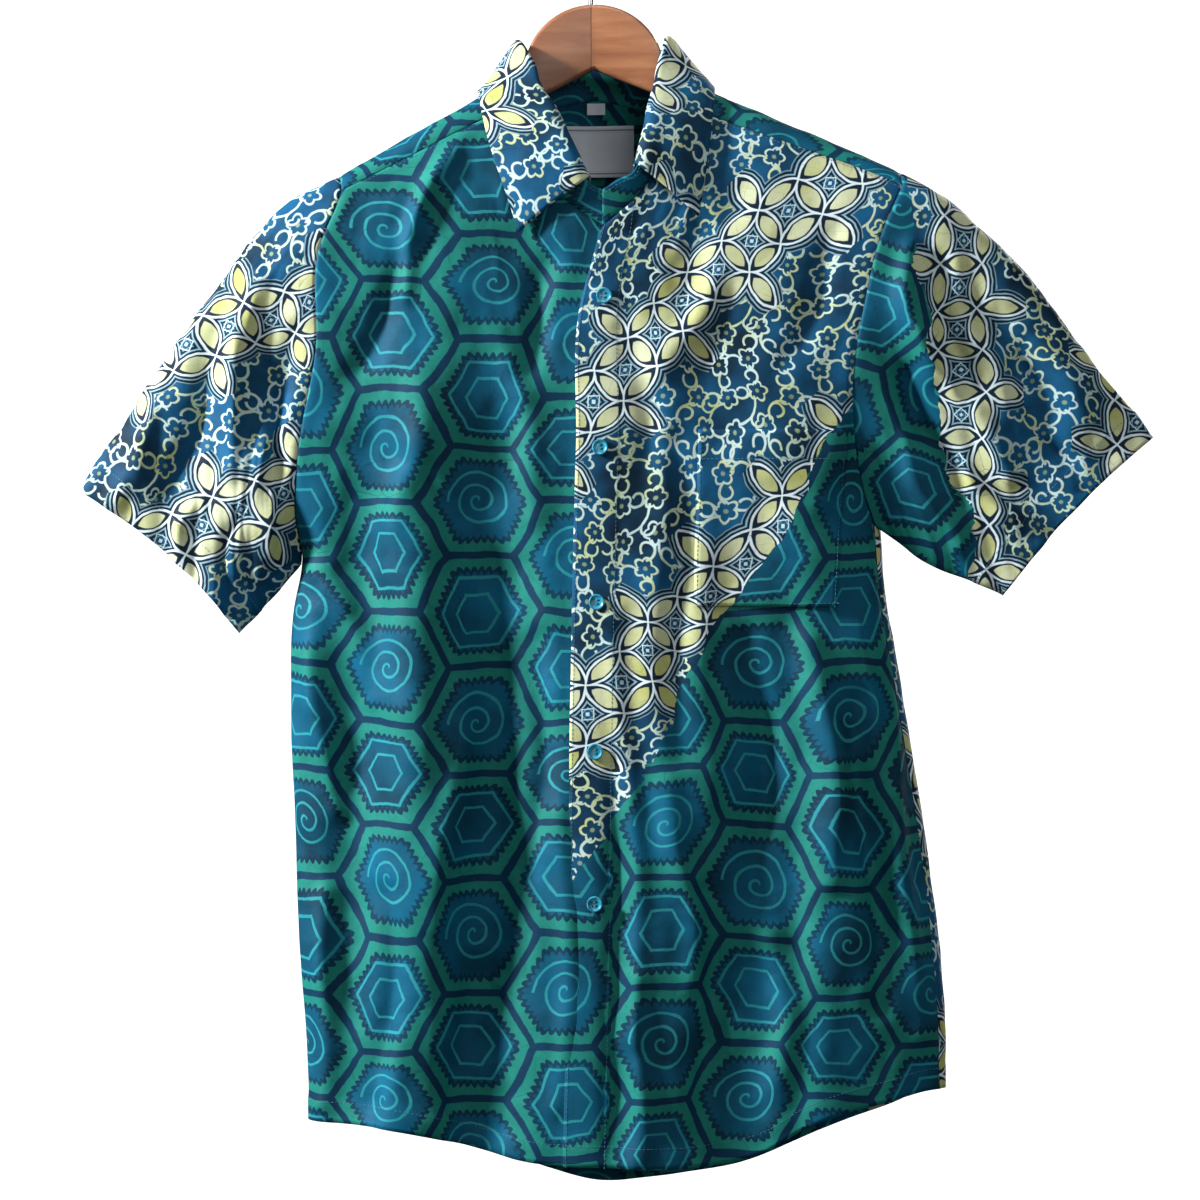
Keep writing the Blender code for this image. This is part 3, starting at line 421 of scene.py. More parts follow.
def colour(code):
    """A linear colour from its usual six digits."""
    parts = [int(code[n : n + 2], 16) / 255 for n in (1, 3, 5)]
    return (*(c / 12.92 if c <= 0.04045 else ((c + 0.055) / 1.055) ** 2.4 for c in parts), 1)


Stem = namedtuple("Stem", "start end over_x over_y bend curl")
FLOWERS = [(12, 13), (36, 9), (60, 15), (8, 38), (32, 34), (56, 40), (15, 62), (40, 58), (64, 64)]
STEMS = [
    Stem(0, 1, 0, 0, 0.30, -4.6), Stem(1, 2, 0, 0, -0.34, 4.2), Stem(0, 3, 0, 0, -0.28, 5.0),
    Stem(1, 4, 0, 0, 0.32, -4.4), Stem(4, 5, 0, 0, 0.36, 4.8), Stem(5, 2, 0, 0, 0.30, -4.2),
    Stem(3, 6, 0, 0, 0.33, -5.0), Stem(4, 7, 0, 0, -0.30, 4.4), Stem(6, 7, 0, 0, -0.38, -4.6),
    Stem(5, 8, 0, 0, -0.32, 4.9), Stem(8, 0, 1, 1, 0.34, -4.6), Stem(6, 1, 0, 1, 0.26, 5.2),
    Stem(8, 3, 1, 0, -0.30, 4.0), Stem(7, 2, 0, 1, -0.28, -4.8),
]
VINE_TILE, FLOWER_RADIUS, CURL_HALF_DEG = 72.0, 7.4, 112.0
LOBES, LOBE_DEPTH, LOBE_NOTCH = 5, 0.34, 0.70


def vine_arcs():
    """The vine's stems and curls as arcs: (x, y, radius, middle angle, half angle)."""
    arcs = []
    for stem in STEMS:
        a = np.array(FLOWERS[stem.start], float)
        b = np.array(FLOWERS[stem.end], float) + VINE_TILE * np.array([stem.over_x, stem.over_y])
        along = (b - a) / np.linalg.norm(b - a)
        a, b = a + along * FLOWER_RADIUS * 0.8, b - along * FLOWER_RADIUS * 0.8
        half, across = np.linalg.norm(b - a) / 2, np.array([-along[1], along[0]])
        rise = stem.bend * half * 1.6
        radius = (half * half + rise * rise) / (2 * abs(rise))
        away = across * np.sign(rise)
        centre = (a + b) / 2 + away * (abs(rise) - radius)
        arcs.append((*centre, radius, math.atan2(away[1], away[0]), math.asin(min(1.0, half / radius))))
        curl = across * np.sign(stem.curl)
        top = (a + b) / 2 + across * rise
        turn = math.radians(CURL_HALF_DEG) * (1 if stem.start % 2 else -1)
        middle = math.atan2(-curl[1], -curl[0]) + turn
        arcs.append((*(top + curl * abs(stem.curl)), abs(stem.curl), middle, abs(turn)))
    return arcs


def vine_net():
    """A node group that gives the distance to a net of small five-lobed flowers, stems and curls."""
    tree = bpy.data.node_groups.new("vine_net", "ShaderNodeTree")
    tree.interface.new_socket(name="Place", in_out="INPUT", socket_type="NodeSocketVector")
    for name in ("Line", "Heart"):
        tree.interface.new_socket(name=name, in_out="OUTPUT", socket_type="NodeSocketFloat")
    net = Finish("vine_net", group=tree)
    place = tree.nodes.new("NodeGroupInput").outputs[0]
    half = VINE_TILE / 2

    def away_from(x, y):
        """The way from the nearest repeat of a point of the tile."""
        high, low = (x + half, y + half, 1.0), (x - half, y - half, -1.0)
        near = net.node("VectorMath", {"operation": "WRAP"}, _0=place, _1=high, _2=low).outputs[0]
        return net.node("VectorMath", {"operation": "SUBTRACT"}, _0=near, _1=(x, y, 0.0)).outputs[0]

    nearest = None
    for x, y, radius, middle, spread_by in vine_arcs():
        off = away_from(x, y)
        forward, beside = (
            net.number(net.node("VectorMath", {"operation": "DOT_PRODUCT"}, _0=off, _1=along).outputs[1])
            for along in ((math.cos(middle), math.sin(middle), 0), (-math.sin(middle), math.cos(middle), 0))
        )
        reach = net.number(net.node("VectorMath", {"operation": "LENGTH"}, _0=off).outputs[1])
        past = abs(beside) * math.cos(spread_by) - forward * math.sin(spread_by)
        arc = abs(reach - radius).math("MAXIMUM", past)
        nearest = nearest.math("MINIMUM", arc) if nearest else arc
    heart = None
    for number, (x, y) in enumerate(FLOWERS):
        off = away_from(x, y)
        split = net.node("SeparateXYZ", None, Vector=off)
        reach = net.number(net.node("VectorMath", {"operation": "LENGTH"}, _0=off).outputs[1])
        turn = net.number(split.outputs[1]).math("ARCTAN2", net.number(split.outputs[0]))
        lobe = abs((turn * (LOBES / 2) + number * 1.3).cos()) * LOBE_DEPTH + LOBE_NOTCH
        nearest = nearest.math("MINIMUM", abs(reach - lobe * FLOWER_RADIUS))
        heart = heart.math("MINIMUM", reach) if heart else reach
    out = tree.nodes.new("NodeGroupOutput")
    net.fill(out.inputs[0], nearest)
    net.fill(out.inputs[1], heart)
    return tree


vines = vine_net()

# The six-sided cells, in millimetres: their lattice, the fill, its teeth, the border and the lines.
HEX_PITCH, HEX_COLUMN, HEX_START = 77.5, 67.1, 847.0
CELL_FILL, TEETH, TOOTH_DEPTH, TOOTH_SHADE, CELL_BORDER, CELL_GAP = 27.6, 36, 3.1, 1.8, 36.1, 36.2
SPIRAL_STEP, SPIRAL_TURNS, RINGS, LINE_HALF = 9.0, 3.0, (13.5, 23.8), 0.95

# The petals are lenses between two arcs, in shares of their pitch, and so are the lines round them.
KAWUNG_PITCH, KAWUNG_TURN_DEG, PETAL_ROWS = 31.7, 45.0, 1.5
Lens = namedtuple("Lens", "side arc")
PETAL, HEART = Lens(0.49, 0.70), Lens(0.2475, 0.4125)
Rule = namedtuple("Rule", "out half soft")
PETAL_RULE, NEAR_RULE = Rule(0.008, 0.026, 0.014), Rule(0.10, 0.016, 0.014)
FAR_RULE, STAR_RULE = Rule(0.185, 0.012, 0.014), Rule(0.17, 0.018, 0.014)
STAR_DOT, PETAL_GROUND, PETAL_CLEAR = 0.055, 0.2, 0.19
THREAD_WAVE = 9.0


class Batik(Finish):
    """Printed and waxed cotton. Its places are millimetres along the piece's own cloth map."""

    def __init__(self, name):
        super().__init__(name, 0.62, Sheen_Weight=0.015, Sheen_Roughness=0.4, Specular_IOR_Level=0.12)
        place = self.node("UVMap", {"uv_map": "cloth"}).outputs[0]
        self.flat = self.node("VectorMath", {"operation": "SCALE"}, _0=place, Scale=1.0 / MM).outputs[0]
        shaken = self.shifted(self.flat, 5.0, 0.035, 3.0, 0.6)
        self.drawn = self.shifted(shaken, 26.0, 0.0085, 1.0, 0.5)
        split = self.node("SeparateXYZ", None, Vector=self.drawn)
        self.u, self.v = self.number(split.outputs[0]), self.number(split.outputs[1])
        self.mottle = self.noise(self.flat, 0.03, 4.0, 0.62)
        self.patch = self.noise(self.flat, 0.012, 3.0, 0.6)
        self.fine = self.noise(self.flat, 0.35, 3.0, 0.7)

    def shifted(self, place, reach, scale, detail, rough):
        """Places moved about by a slow drift, so that the print looks drawn by hand."""
        drift = self.node("TexNoise", None, Vector=self.flat, Scale=scale, Detail=detail, Roughness=rough)
        cloud, half = drift.outputs["Color"], (0.5, 0.5, 0.5)
        off = self.node("VectorMath", {"operation": "SUBTRACT"}, _0=cloud, _1=half)
        return self.node(
            "VectorMath", {"operation": "MULTIPLY_ADD"}, _0=off.outputs[0], _1=(reach, reach, 0.0), _2=place
        ).outputs[0]

    def ruled(self, distance, rule):
        """1 on a line at one distance from an outline."""
        return (abs(distance - rule.out) - rule.half).inside(rule.soft)

    def hexagon_cells(self):
        """The two lattices of six-sided cells, and the nearer one's centre and offsets."""
        u, v = self.u, self.v + HEX_START
        ax, ay = u.wrap(HEX_COLUMN), v.wrap(HEX_PITCH / 2)
        bx, by = (u - HEX_COLUMN).wrap(HEX_COLUMN), (v - HEX_PITCH / 2).wrap(HEX_PITCH / 2)
        second = (ax * ax + ay * ay).math("GREATER_THAN", bx * bx + by * by)
        self.qx, self.qy = ax + (bx - ax) * second, ay + (by - ay) * second
        self.cell_u, self.cell_v = u - self.qx, v - self.qy

    def hexagons(self):
        """Six-sided cells with a toothed border, holding spirals and nested six-sided rings by turns."""
        x, y = abs(self.qx), abs(self.qy)
        out = y.math("MAXIMUM", x * 0.866 + y * 0.5)
        reach = (self.qx * self.qx + self.qy * self.qy).math("SQRT")
        turn = self.qy.math("ARCTAN2", self.qx)
        order = self.cell_v / HEX_PITCH + self.cell_u / (2 * HEX_COLUMN)
        with_spiral = (order * 0.5 + 0.125).math("FRACT").over(0.25)
        wound = reach / SPIRAL_STEP - turn / (2 * math.pi) + 0.5
        spiral = abs(wound.math("FRACT") - 0.5) * SPIRAL_STEP + wound.over(SPIRAL_TURNS) * 20.0
        rings = abs(out - RINGS[0]).math("MINIMUM", abs(out - RINGS[1]))
        line = (rings + (spiral - rings) * with_spiral - LINE_HALF).inside(0.5)
        edge = CELL_FILL + TOOTH_DEPTH * abs((turn * (TEETH / 2)).sin()) - out
        border = edge.inside(0.4) * (out - CELL_BORDER).inside(0.4)
        dark = (abs(edge - TOOTH_SHADE) - TOOTH_SHADE).inside(0.6)
        gap = (CELL_GAP - out).inside(0.4)
        tone = self.mix((self.patch - 0.3) * 2.5, "#033244", "#045f80")
        tone = self.mix((self.mottle - 0.5) * 1.6, tone, "#05293c")
        tone = self.mix(dark * 0.75, tone, "#04263a")
        tone = self.mix(line * 0.92, tone, self.mix(self.mottle, "#1a7682", "#2f979e"))
        tone = self.mix(gap, tone, self.mix(self.mottle, "#031f31", "#073c5c"))
        return self.mix(border, tone, self.mix(self.mottle, "#0d5d57", "#22877b"))

    def lens(self, along, across, shape):
        """Distance to a petal, a lens between two arcs."""
        reach = abs(across) + shape.side
        return (along * along + reach * reach).math("SQRT") - shape.arc

    def kawung(self):
        """Bands of petals round stars: how far off are a petal, its heart and a star, and where stars are."""
        turn = math.radians(KAWUNG_TURN_DEG)
        along = (self.u * math.cos(turn) + self.v * math.sin(turn)) / KAWUNG_PITCH
        across = (self.v * math.cos(turn) - self.u * math.sin(turn)) / KAWUNG_PITCH + self.band
        ax, ay = along.math("FRACT") - 0.5, across.wrap(0.5)
        bx, by = across.math("FRACT") - 0.5, along.wrap(0.5)
        row = (across - ay + 0.01).math("FLOORED_MODULO", self.period)
        step = across.math("FLOOR").math("FLOORED_MODULO", self.period)
        odd = ((along - by) * 0.5).math("FRACT").over(0.25)
        other = abs(step - 1.0 - odd * (self.period - 2.0)).math("MINIMUM", step)
        gone_first, gone_second = row.over(PETAL_ROWS), other.over(PETAL_ROWS - 1.0)
        petal, heart = (
            (self.lens(ax, ay, shape) + gone_first).math("MINIMUM", self.lens(bx, by, shape) + gone_second)
            for shape in (PETAL, HEART)
        )
        return petal, heart, abs(ax) + abs(bx), step.math("LESS_THAN", 0.5)

    def floral(self):
        """Cream vines and petals left by the wax on a navy and blue ground."""
        tone = self.mix((self.patch - 0.36) * 4.5, "#071e2e", "#0f547c")
        tone = self.mix((self.mottle - 0.45) * 2.0, tone, "#0a2f48")
        petal, heart, star, inner = self.kawung()
        cream = self.mix((self.mottle - 0.42) * 4.0, "#b8d2d2", "#b4c184")
        net = self.node("Group", {"node_tree": vines}, Place=self.drawn)
        vine, blossom = self.number(net.outputs[0]), self.number(net.outputs[1])
        open_ground = (PETAL_CLEAR - petal).inside(0.04) * (1.0 - inner)
        tone = self.mix((vine - 0.85).inside(0.5) * open_ground, tone, cream)
        tone = self.mix((blossom - 1.5).inside(0.8) * open_ground * 0.6, tone, "#9fb487")
        close = (petal - PETAL_GROUND).inside(0.02)
        contour = self.ruled(petal, NEAR_RULE) + self.ruled(petal, FAR_RULE) * 0.7
        tone = self.mix(close * (1.0 - contour), tone, "#0a1f33")
        tone = self.mix(contour * 0.9, tone, "#8fb4c2")
        star_lines = self.ruled(star, STAR_RULE).math("MAXIMUM", (star - STAR_DOT).inside(0.02))
        tone = self.mix(star_lines * inner, tone, "#bcd8de")
        tone = self.mix(self.ruled(petal, PETAL_RULE), tone, "#cfe0e4")
        filling = self.mix((self.patch - 0.35) * 4.0, "#acb168", "#c4cba8")
        return self.mix((heart + 0.004).inside(0.016), tone, filling)

    def finish_cloth(self, tone):
        """Dye unevenness, fine cracks of the wax, the weave and small rumples."""
        tone = self.mix((self.fine - 0.5) * 0.5, tone, "#06121c")
        crack = self.node("TexVoronoi", {"feature": "DISTANCE_TO_EDGE"}, Vector=self.drawn, Scale=0.055)
        cracked = (self.number(crack.outputs["Distance"]) - 0.010).inside(0.012) * (self.mottle - 0.45)
        tone = self.mix(cracked.math("MULTIPLY", 2.2, clamp=True), tone, "#0a2233")
        u, v = self.node("SeparateXYZ", None, Vector=self.flat).outputs[:2]
        weave = (self.number(u) * THREAD_WAVE).sin() * (self.number(v) * THREAD_WAVE).sin()
        rumple = self.noise(self.flat, 0.055, 3.0, 0.5)
        normal = self.bump(weave, 0.00003, 0.5, self.bump(rumple, 0.0014, 0.5))
        return self.paint(tone, 0.55 + self.fine * 0.2, normal)


hexagon_cloth = Batik("hexagon_batik")
hexagon_cloth.hexagon_cells()
hexagon_batik = hexagon_cloth.finish_cloth(hexagon_cloth.hexagons())


def mixed_batik(name, slope, start, band, period):
    """Both prints on one length of cloth: the six-sided cells lie below a slanting line."""
    cloth = Batik(name)
    cloth.band, cloth.period = band, period
    cloth.hexagon_cells()
    wander = (cloth.patch - 0.5) * 60.0 + (cloth.mottle - 0.5) * 30.0
    below = (cloth.u * slope[0] + cloth.v * slope[1] + wander).math("LESS_THAN", start)
    return cloth.finish_cloth(cloth.mix(below, cloth.floral(), cloth.hexagons()))


# Single creases as they lie in the front view, in soft ridges and, with a depth below nought, troughs.
Crease = namedtuple("Crease", "x1 drop1 x2 drop2 depth width")
CREASE_HEIGHT, CREASE_SPREAD, PLACKET_STIFFNESS = 3.0, 0.85, 0.82
SEAM_QUIET, SEAM_DIP, BAND_EDGE = 22.0, 0.55, 0.9
HEM_WIDTH, PLACKET_WIDTH = 16.0, 30.0
RUMPLE_SIZES = (95.0, 70.0, 52.0, 38.0, 27.0, 19.0)
CREASES = {
    "front_right": [
        Crease(-93, 150, -134, 275, 3.6, 8), Crease(-120, 240, -168, 330, -2.6, 10),
        Crease(-60, 300, -30, 430, 2.2, 12), Crease(-186, 470, -150, 560, 3.2, 12),
        Crease(-196, 500, -184, 640, 2.4, 9), Crease(-90, 560, -104, 720, 3.0, 13),
        Crease(-30, 520, -40, 680, -2.6, 11), Crease(-12, 640, -16, 850, 2.6, 11),
        Crease(-140, 700, -150, 850, -3.2, 12), Crease(-182, 700, -190, 850, 3.0, 10),
        Crease(-84, 760, -90, 880, -3.0, 14), Crease(-150, 380, -90, 430, -2.0, 12),
        Crease(-24, 250, -46, 330, -2.2, 10), Crease(-118, 340, -136, 470, 2.2, 13),
        Crease(-72, 380, -66, 860, -3.6, 25), Crease(-122, 330, -112, 860, 2.6, 22),
        Crease(-168, 420, -160, 860, -2.8, 20),
    ],
    "front_left": [
        Crease(20, 500, 36, 800, 3.2, 11), Crease(62, 380, 70, 600, -3.0, 13),
        Crease(116, 520, 126, 700, -3.4, 12), Crease(164, 520, 176, 690, 4.0, 11),
        Crease(196, 560, 206, 780, -3.6, 10), Crease(222, 560, 236, 800, 3.2, 9),
        Crease(40, 760, 34, 890, 3.0, 10), Crease(84, 700, 92, 880, -3.4, 13),
        Crease(134, 730, 140, 860, 3.4, 12), Crease(96, 240, 60, 330, 2.4, 12),
        Crease(180, 230, 140, 330, -2.2, 11), Crease(196, 300, 170, 420, 2.4, 12),
        Crease(30, 300, 50, 420, -1.8, 12), Crease(60, 620, 74, 760, 2.2, 10),
        Crease(72, 420, 90, 880, 2.4, 24), Crease(134, 430, 150, 880, -3.6, 25),
        Crease(200, 420, 216, 860, 2.6, 20), Crease(24, 520, 20, 880, -2.2, 18),
    ],
}


def rumples(u, v, seed, depth):
    """Small uneven hollows all over a piece, from a few crossed waves of fixed directions."""
    chance = np.random.default_rng(seed)
    total = np.zeros(u.shape)
    for size in RUMPLE_SIZES:
        for _ in range(2):
            turn, phase, other = chance.uniform(0, math.pi), *chance.uniform(0, 2 * math.pi, 2)
            wave = np.sin((u * math.cos(turn) * 1.25 + v * math.sin(turn) * 0.8) * 2 * math.pi / size + phase)
            crossing = np.sin((u * math.sin(turn) - v * math.cos(turn)) * math.pi / size + other)
            total += wave * crossing * size / RUMPLE_SIZES[0]
    return total * depth / 2.2


def cross_normals(grid, flip, ring=False):
    along = np.gradient(grid, axis=0)
    across = (np.roll(grid, -1, axis=1) - np.roll(grid, 1, axis=1)) / 2 if ring else np.gradient(grid, axis=1)
    normals = np.cross(across, along) * flip
    return normals / np.maximum(np.linalg.norm(normals, axis=2, keepdims=True), 1e-9)


def lengths(grid, axis, flat=False):
    """Distance along the cloth from the first row or column; flat leaves out the fall."""
    steps = np.diff(grid, axis=axis)
    if flat:
        steps = steps[..., :2]
    run = np.cumsum(np.linalg.norm(steps, axis=2), axis=axis)
    start = np.zeros_like(run[:1] if axis == 0 else run[:, :1])
    return np.concatenate([start, run], axis=axis)


def from_borders(grid):
    """Millimetres along the cloth from each of its four borders."""
    down, across = lengths(grid, 0), lengths(grid, 1)
    return {"low": down, "high": down[-1:] - down, "first": across, "last": across[:, -1:] - across}


def near_border(grid, ring, loose):
    """Millimetres from each point to the nearest sewn border; loose names borders that hang free."""
    away = np.full(grid.shape[:2], 1e3)
    for name, run in from_borders(grid).items():
        if name not in loose and not (ring and name in ("first", "last")):
            away = np.minimum(away, run)
    return away


def creased(name, grid, flip, loose=(), ring=False, depth=1.3, seed=1):
    """The cloth's own creases and rumples, laid on its grid and quiet along its seams."""
    normals = cross_normals(grid, flip, ring)
    down, across = lengths(grid, 0), lengths(grid, 1)
    x, drop = grid[..., 0], -grid[..., 2]
    lift = rumples(across, down, seed, depth)
    for crease in CREASES.get(name, []):
        run = np.array([crease.x2 - crease.x1, crease.drop2 - crease.drop1], float)
        t = np.clip(((x - crease.x1) * run[0] + (drop - crease.drop1) * run[1]) / (run @ run), 0, 1)
        bow = 5.0 * np.sin(t * math.pi * 1.7 + crease.width)
        gap = np.hypot(x - crease.x1 - t * run[0] - bow, drop - crease.drop1 - t * run[1])
        section = np.exp(-((gap / (CREASE_SPREAD * crease.width)) ** 2))
        fading = 0.35 + 0.65 * np.sin(math.pi * np.clip(t, 0.06, 0.94))
        lift += CREASE_HEIGHT * crease.depth * section * fading
    if name.startswith("front"):
        # The placket is stiff, so it stays flatter than the cloth beside it.
        lift *= 1 - PLACKET_STIFFNESS * np.exp(-(((across[:, -1:] - across - 16) / 15) ** 2))
    away = near_border(grid, ring, loose)
    lift = lift * np.clip((away - 2) / SEAM_QUIET, 0, 1) ** 0.8 - SEAM_DIP * np.exp(-((away / 2.2) ** 2))
    return grid + normals * lift[..., None]


def hemmed(grid, flip, bands, ring=False):
    """The extra thickness of a turned band along a border: (border, width, step)."""
    normals = cross_normals(grid, flip, ring)
    runs = from_borders(grid)
    for border, width, step in bands:
        past = np.clip((runs[border] - width) / BAND_EDGE, -40, 40)
        grid = grid + normals * (step / (1 + np.exp(past)))[..., None]
    return grid


def placed(name, data):
    """An object in the scene for this mesh, curve, lamp or camera."""
    made = bpy.data.objects.new(name, data)
    bpy.context.scene.collection.objects.link(made)
    return made


def cloth_piece(name, grid, u, v, flip, stuff, ring=False, wall=CLOTH):
    """A sheet between the points of a grid, with its cloth map, given its thickness inwards."""
    rows, cols = grid.shape[:2]
    spans = cols if ring else cols - 1
    r, c = (a.ravel() for a in np.meshgrid(np.arange(rows - 1), np.arange(spans), indexing="ij"))
    corners = [(r, c), (r, c + 1), (r + 1, c + 1), (r + 1, c)][:: 1 if flip > 0 else -1]
    index = np.stack([row * cols + col % cols for row, col in corners], axis=1)
    mesh = bpy.data.meshes.new(name)
    mesh.from_pydata((grid.reshape(-1, 3) * MM).tolist(), [], index.tolist())
    layer = mesh.uv_layers.new(name="cloth")
    places = np.stack([np.stack([u[row, col], v[row, col]], axis=1) for row, col in corners], axis=1)
    layer.data.foreach_set("uv", (places * MM).astype(np.float32).ravel())
    mesh.materials.append(stuff)
    mesh.shade_smooth()
    piece = placed(name, mesh)
    thicken = piece.modifiers.new("wall", "SOLIDIFY")
    thicken.thickness, thicken.offset = wall * MM, -1
    return piece


def fasten(piece, node=None):
    """The piece rides on the garment, and stands for its solid where it has one."""
    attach(piece, "root")
    if node:
        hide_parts(node)


def dress(piece, node, finish_slot, grid):
    """The cloth rides on the garment and stands for its solid."""
    fasten(piece, node)
    a, b = np.diff(grid, axis=0)[:, :-1], np.diff(grid, axis=1)[:-1]


fronts = {side: front_grid(side) for side in (RIGHT, LEFT)}
floral_left = mixed_batik("floral_batik_left_front", (-1.78, 1.0), -703.0, 3.5, 5.0)
front_stuff = {RIGHT: hexagon_batik, LEFT: floral_left}
front_shown = {}
for side, word in ((RIGHT, "right"), (LEFT, "left")):
    grid, flip = fronts[side], 1 if side == RIGHT else -1
    name = "front_" + word
    shown = creased(name, grid, flip, ("low", "last"), seed=3 + side)
    shown = hemmed(shown, flip, [("low", HEM_WIDTH, 0.5), ("last", PLACKET_WIDTH, 0.45)])
    across = lengths(grid, 1, True)
    edge = across[:, -1:] - across
    u = (PLACKET_WIDTH - edge) if side == RIGHT else edge
    front_shown[side] = (shown, u, grid[..., 2])
    piece = cloth_piece(name + "_cloth", shown, u, grid[..., 2], flip, front_stuff[side])
    dress(piece, name, "hexagon_batik" if side == RIGHT else "floral_batik", grid)


# ---- The back
# One wide panel of the same cloth, from the hem to the straight seam under the yoke. Its sides are
# sewn to the fronts and, above them, to the sleeves.
HEM[BACK] = [
    Hem(-205, 863), Hem(-146, 869), Hem(-96, 880), Hem(-28, 905), Hem(10, 912), Hem(45, 911),
    Hem(109, 901), Hem(158, 880), Hem(185, 870), Hem(229, 852), Hem(248, 841), Hem(262, 841),
]
CREASES["back"] = [
    Crease(-120, 300, -70, 480, 2.6, 15), Crease(-60, 420, -66, 800, -3.0, 13),
    Crease(0, 300, -8, 620, 2.6, 14), Crease(44, 500, 50, 880, -3.0, 12),
    Crease(100, 320, 90, 620, 2.8, 15), Crease(160, 500, 170, 820, -3.0, 12),
    Crease(-150, 560, -160, 840, 3.0, 11), Crease(190, 560, 206, 820, 3.0, 10),
    Crease(120, 240, 160, 340, -2.4, 12), Crease(-100, 240, -150, 340, 2.4, 12),
    Crease(10, 660, 20, 880, 3.0, 12),
]
YOKE_SEAM_DROP, BACK_ARMHOLE_CELLS = 215.0, 7


def back_columns():
    """The back's grid lines from the wearer's right to the left: (side, column)."""
    right = np.linspace(0, CENTRE_COLUMN, CENTRE_COLUMN * FINE_ACROSS + 1)
    return [(RIGHT, c) for c in right] + [(LEFT, c) for c in right[-2::-1]]


def back_grid():
    lines = back_columns()
    columns = []
    for number, (side, column) in enumerate(lines):
        share = number / (len(lines) - 1)
        knee = blend(KNEE_DROP[RIGHT], KNEE_DROP[LEFT], share)
        underarm = blend(UNDERARM_DROP[RIGHT], UNDERARM_DROP[LEFT], share)
        levels = (hem_drop(side, column, BACK), knee, underarm, YOKE_SEAM_DROP)
        drops = spread(levels, (CELLS_TO_KNEE, CELLS_TO_UNDERARM, BACK_ARMHOLE_CELLS))
        x, facing = column_x(side, column, drops, BACK)
        columns.append(body_points(x, drops, facing))
    return np.array(columns).transpose(1, 0, 2)


back = back_grid()
back_batik = mixed_batik("floral_batik_back", (1.6, 1.0), -520.0, 0.1, 5.0)
back_shown = hemmed(creased("back", back, -1, ("low",), seed=9), -1, [("low", HEM_WIDTH, 0.5)])
across = lengths(back, 1, True)
back_u = across - across[:, across.shape[1] // 2, None]
piece = cloth_piece("back_cloth", back_shown, back_u, back[..., 2], -1, back_batik)
dress(piece, "back", "back_batik", back)


# ---- The yoke
# One shaped piece over both shoulders, which carries the whole shirt on the hanger. It is sewn to
# the back, to both fronts and to the tops of the sleeves, and turns over the wood.
YOKE_BACK_CELLS, YOKE_FRONT_CELLS, YOKE_FINE = 6, 4, 5
YOKE_TURN_SHARE, YOKE_BOW, BACK_NECK_DROP = 0.168, 15.0, 128.0
CREASES["yoke"] = [
    Crease(-110, 160, -150, 190, 1.6, 9), Crease(120, 150, 160, 176, 1.6, 9),
    Crease(-60, 170, 60, 190, 1.0, 12),
]


def arch_point(x, arch):
    """A point on the yoke: arch is negative behind the shoulder line and positive before it."""
    fall = arch * arch / (np.abs(arch) + RIDGE_REACH)
    return body_points(x, curve(x, RIDGE, "drop") + fall, np.asarray(arch) >= 0)


def arch_of(fall, sign):
    return sign * (fall + math.sqrt(fall * fall + 4 * RIDGE_REACH * fall)) / 2


def arch_at(point, sign):
    return arch_of(max(0.0, -point[2] - float(curve(point[0], RIDGE, "drop"))), sign)


def yoke_neckline(share):
    """(x, arch) round the neck from the right neck corner, 0, over the back to the left one, 1."""
    reach_front = arch_of(FRONT_SEAM_FALL[RIGHT][1], 1)
    reach_back = arch_of(BACK_NECK_DROP - float(curve(NECK_MIDDLE_X, RIDGE, "drop")), 1)
    angle = math.radians(blend(180 + NECK_CORNER_DEG, -NECK_CORNER_DEG, share))
    rise = math.sin(angle)
    arch = -reach_back * rise if rise > 0 else -reach_front * rise / math.sin(math.radians(NECK_CORNER_DEG))
    return NECK_MIDDLE_X + NECK_HALF_WIDTH * math.cos(angle), arch


def yoke_grid():
    """Rows from the back seam to the front seams and the neckline; columns as the back's."""
    lines = back_columns()
    behind_at = np.arange(YOKE_BACK_CELLS * YOKE_FINE) / (YOKE_BACK_CELLS * YOKE_FINE)
    before_at = np.arange(YOKE_FRONT_CELLS * YOKE_FINE + 1) / (YOKE_FRONT_CELLS * YOKE_FINE)
    columns = []
    for number, (side, column) in enumerate(lines):
        low = back[-1, number]
        if column <= CORNER:
            high = fronts[side][-1, round(column * FINE_ACROSS)]
            high_x, high_arch = high[0], arch_at(high, 1)
        else:
            high_x, high_arch = yoke_neckline((number / FINE_ACROSS - CORNER) / (2 * NECK_CELLS))
            high = arch_point(high_x, high_arch)
        low_arch = arch_at(low, -1)
        inside = max(0, column - CORNER) / NECK_CELLS
        turn = min(0.0, high_arch - YOKE_TURN_SHARE * (high_arch - low_arch) * inside)
        arch = np.concatenate([
            turn + (low_arch - turn) * (1 - behind_at) ** 2,
            turn + (high_arch - turn) * before_at**1.4,
        ])
        weight = min(column / CORNER, (CENTRE_COLUMN - column) / NECK_CELLS)
        share = (arch - low_arch) / (high_arch - low_arch)
        bow = side * YOKE_BOW * weight * np.sin(math.pi * np.clip(share, 0, 1) ** 1.6)
        points = arch_point(blend(low[0], high_x, share) + bow, arch)
        points[0], points[-1] = low, high
        columns.append(points)
    return np.array(columns).transpose(1, 0, 2)


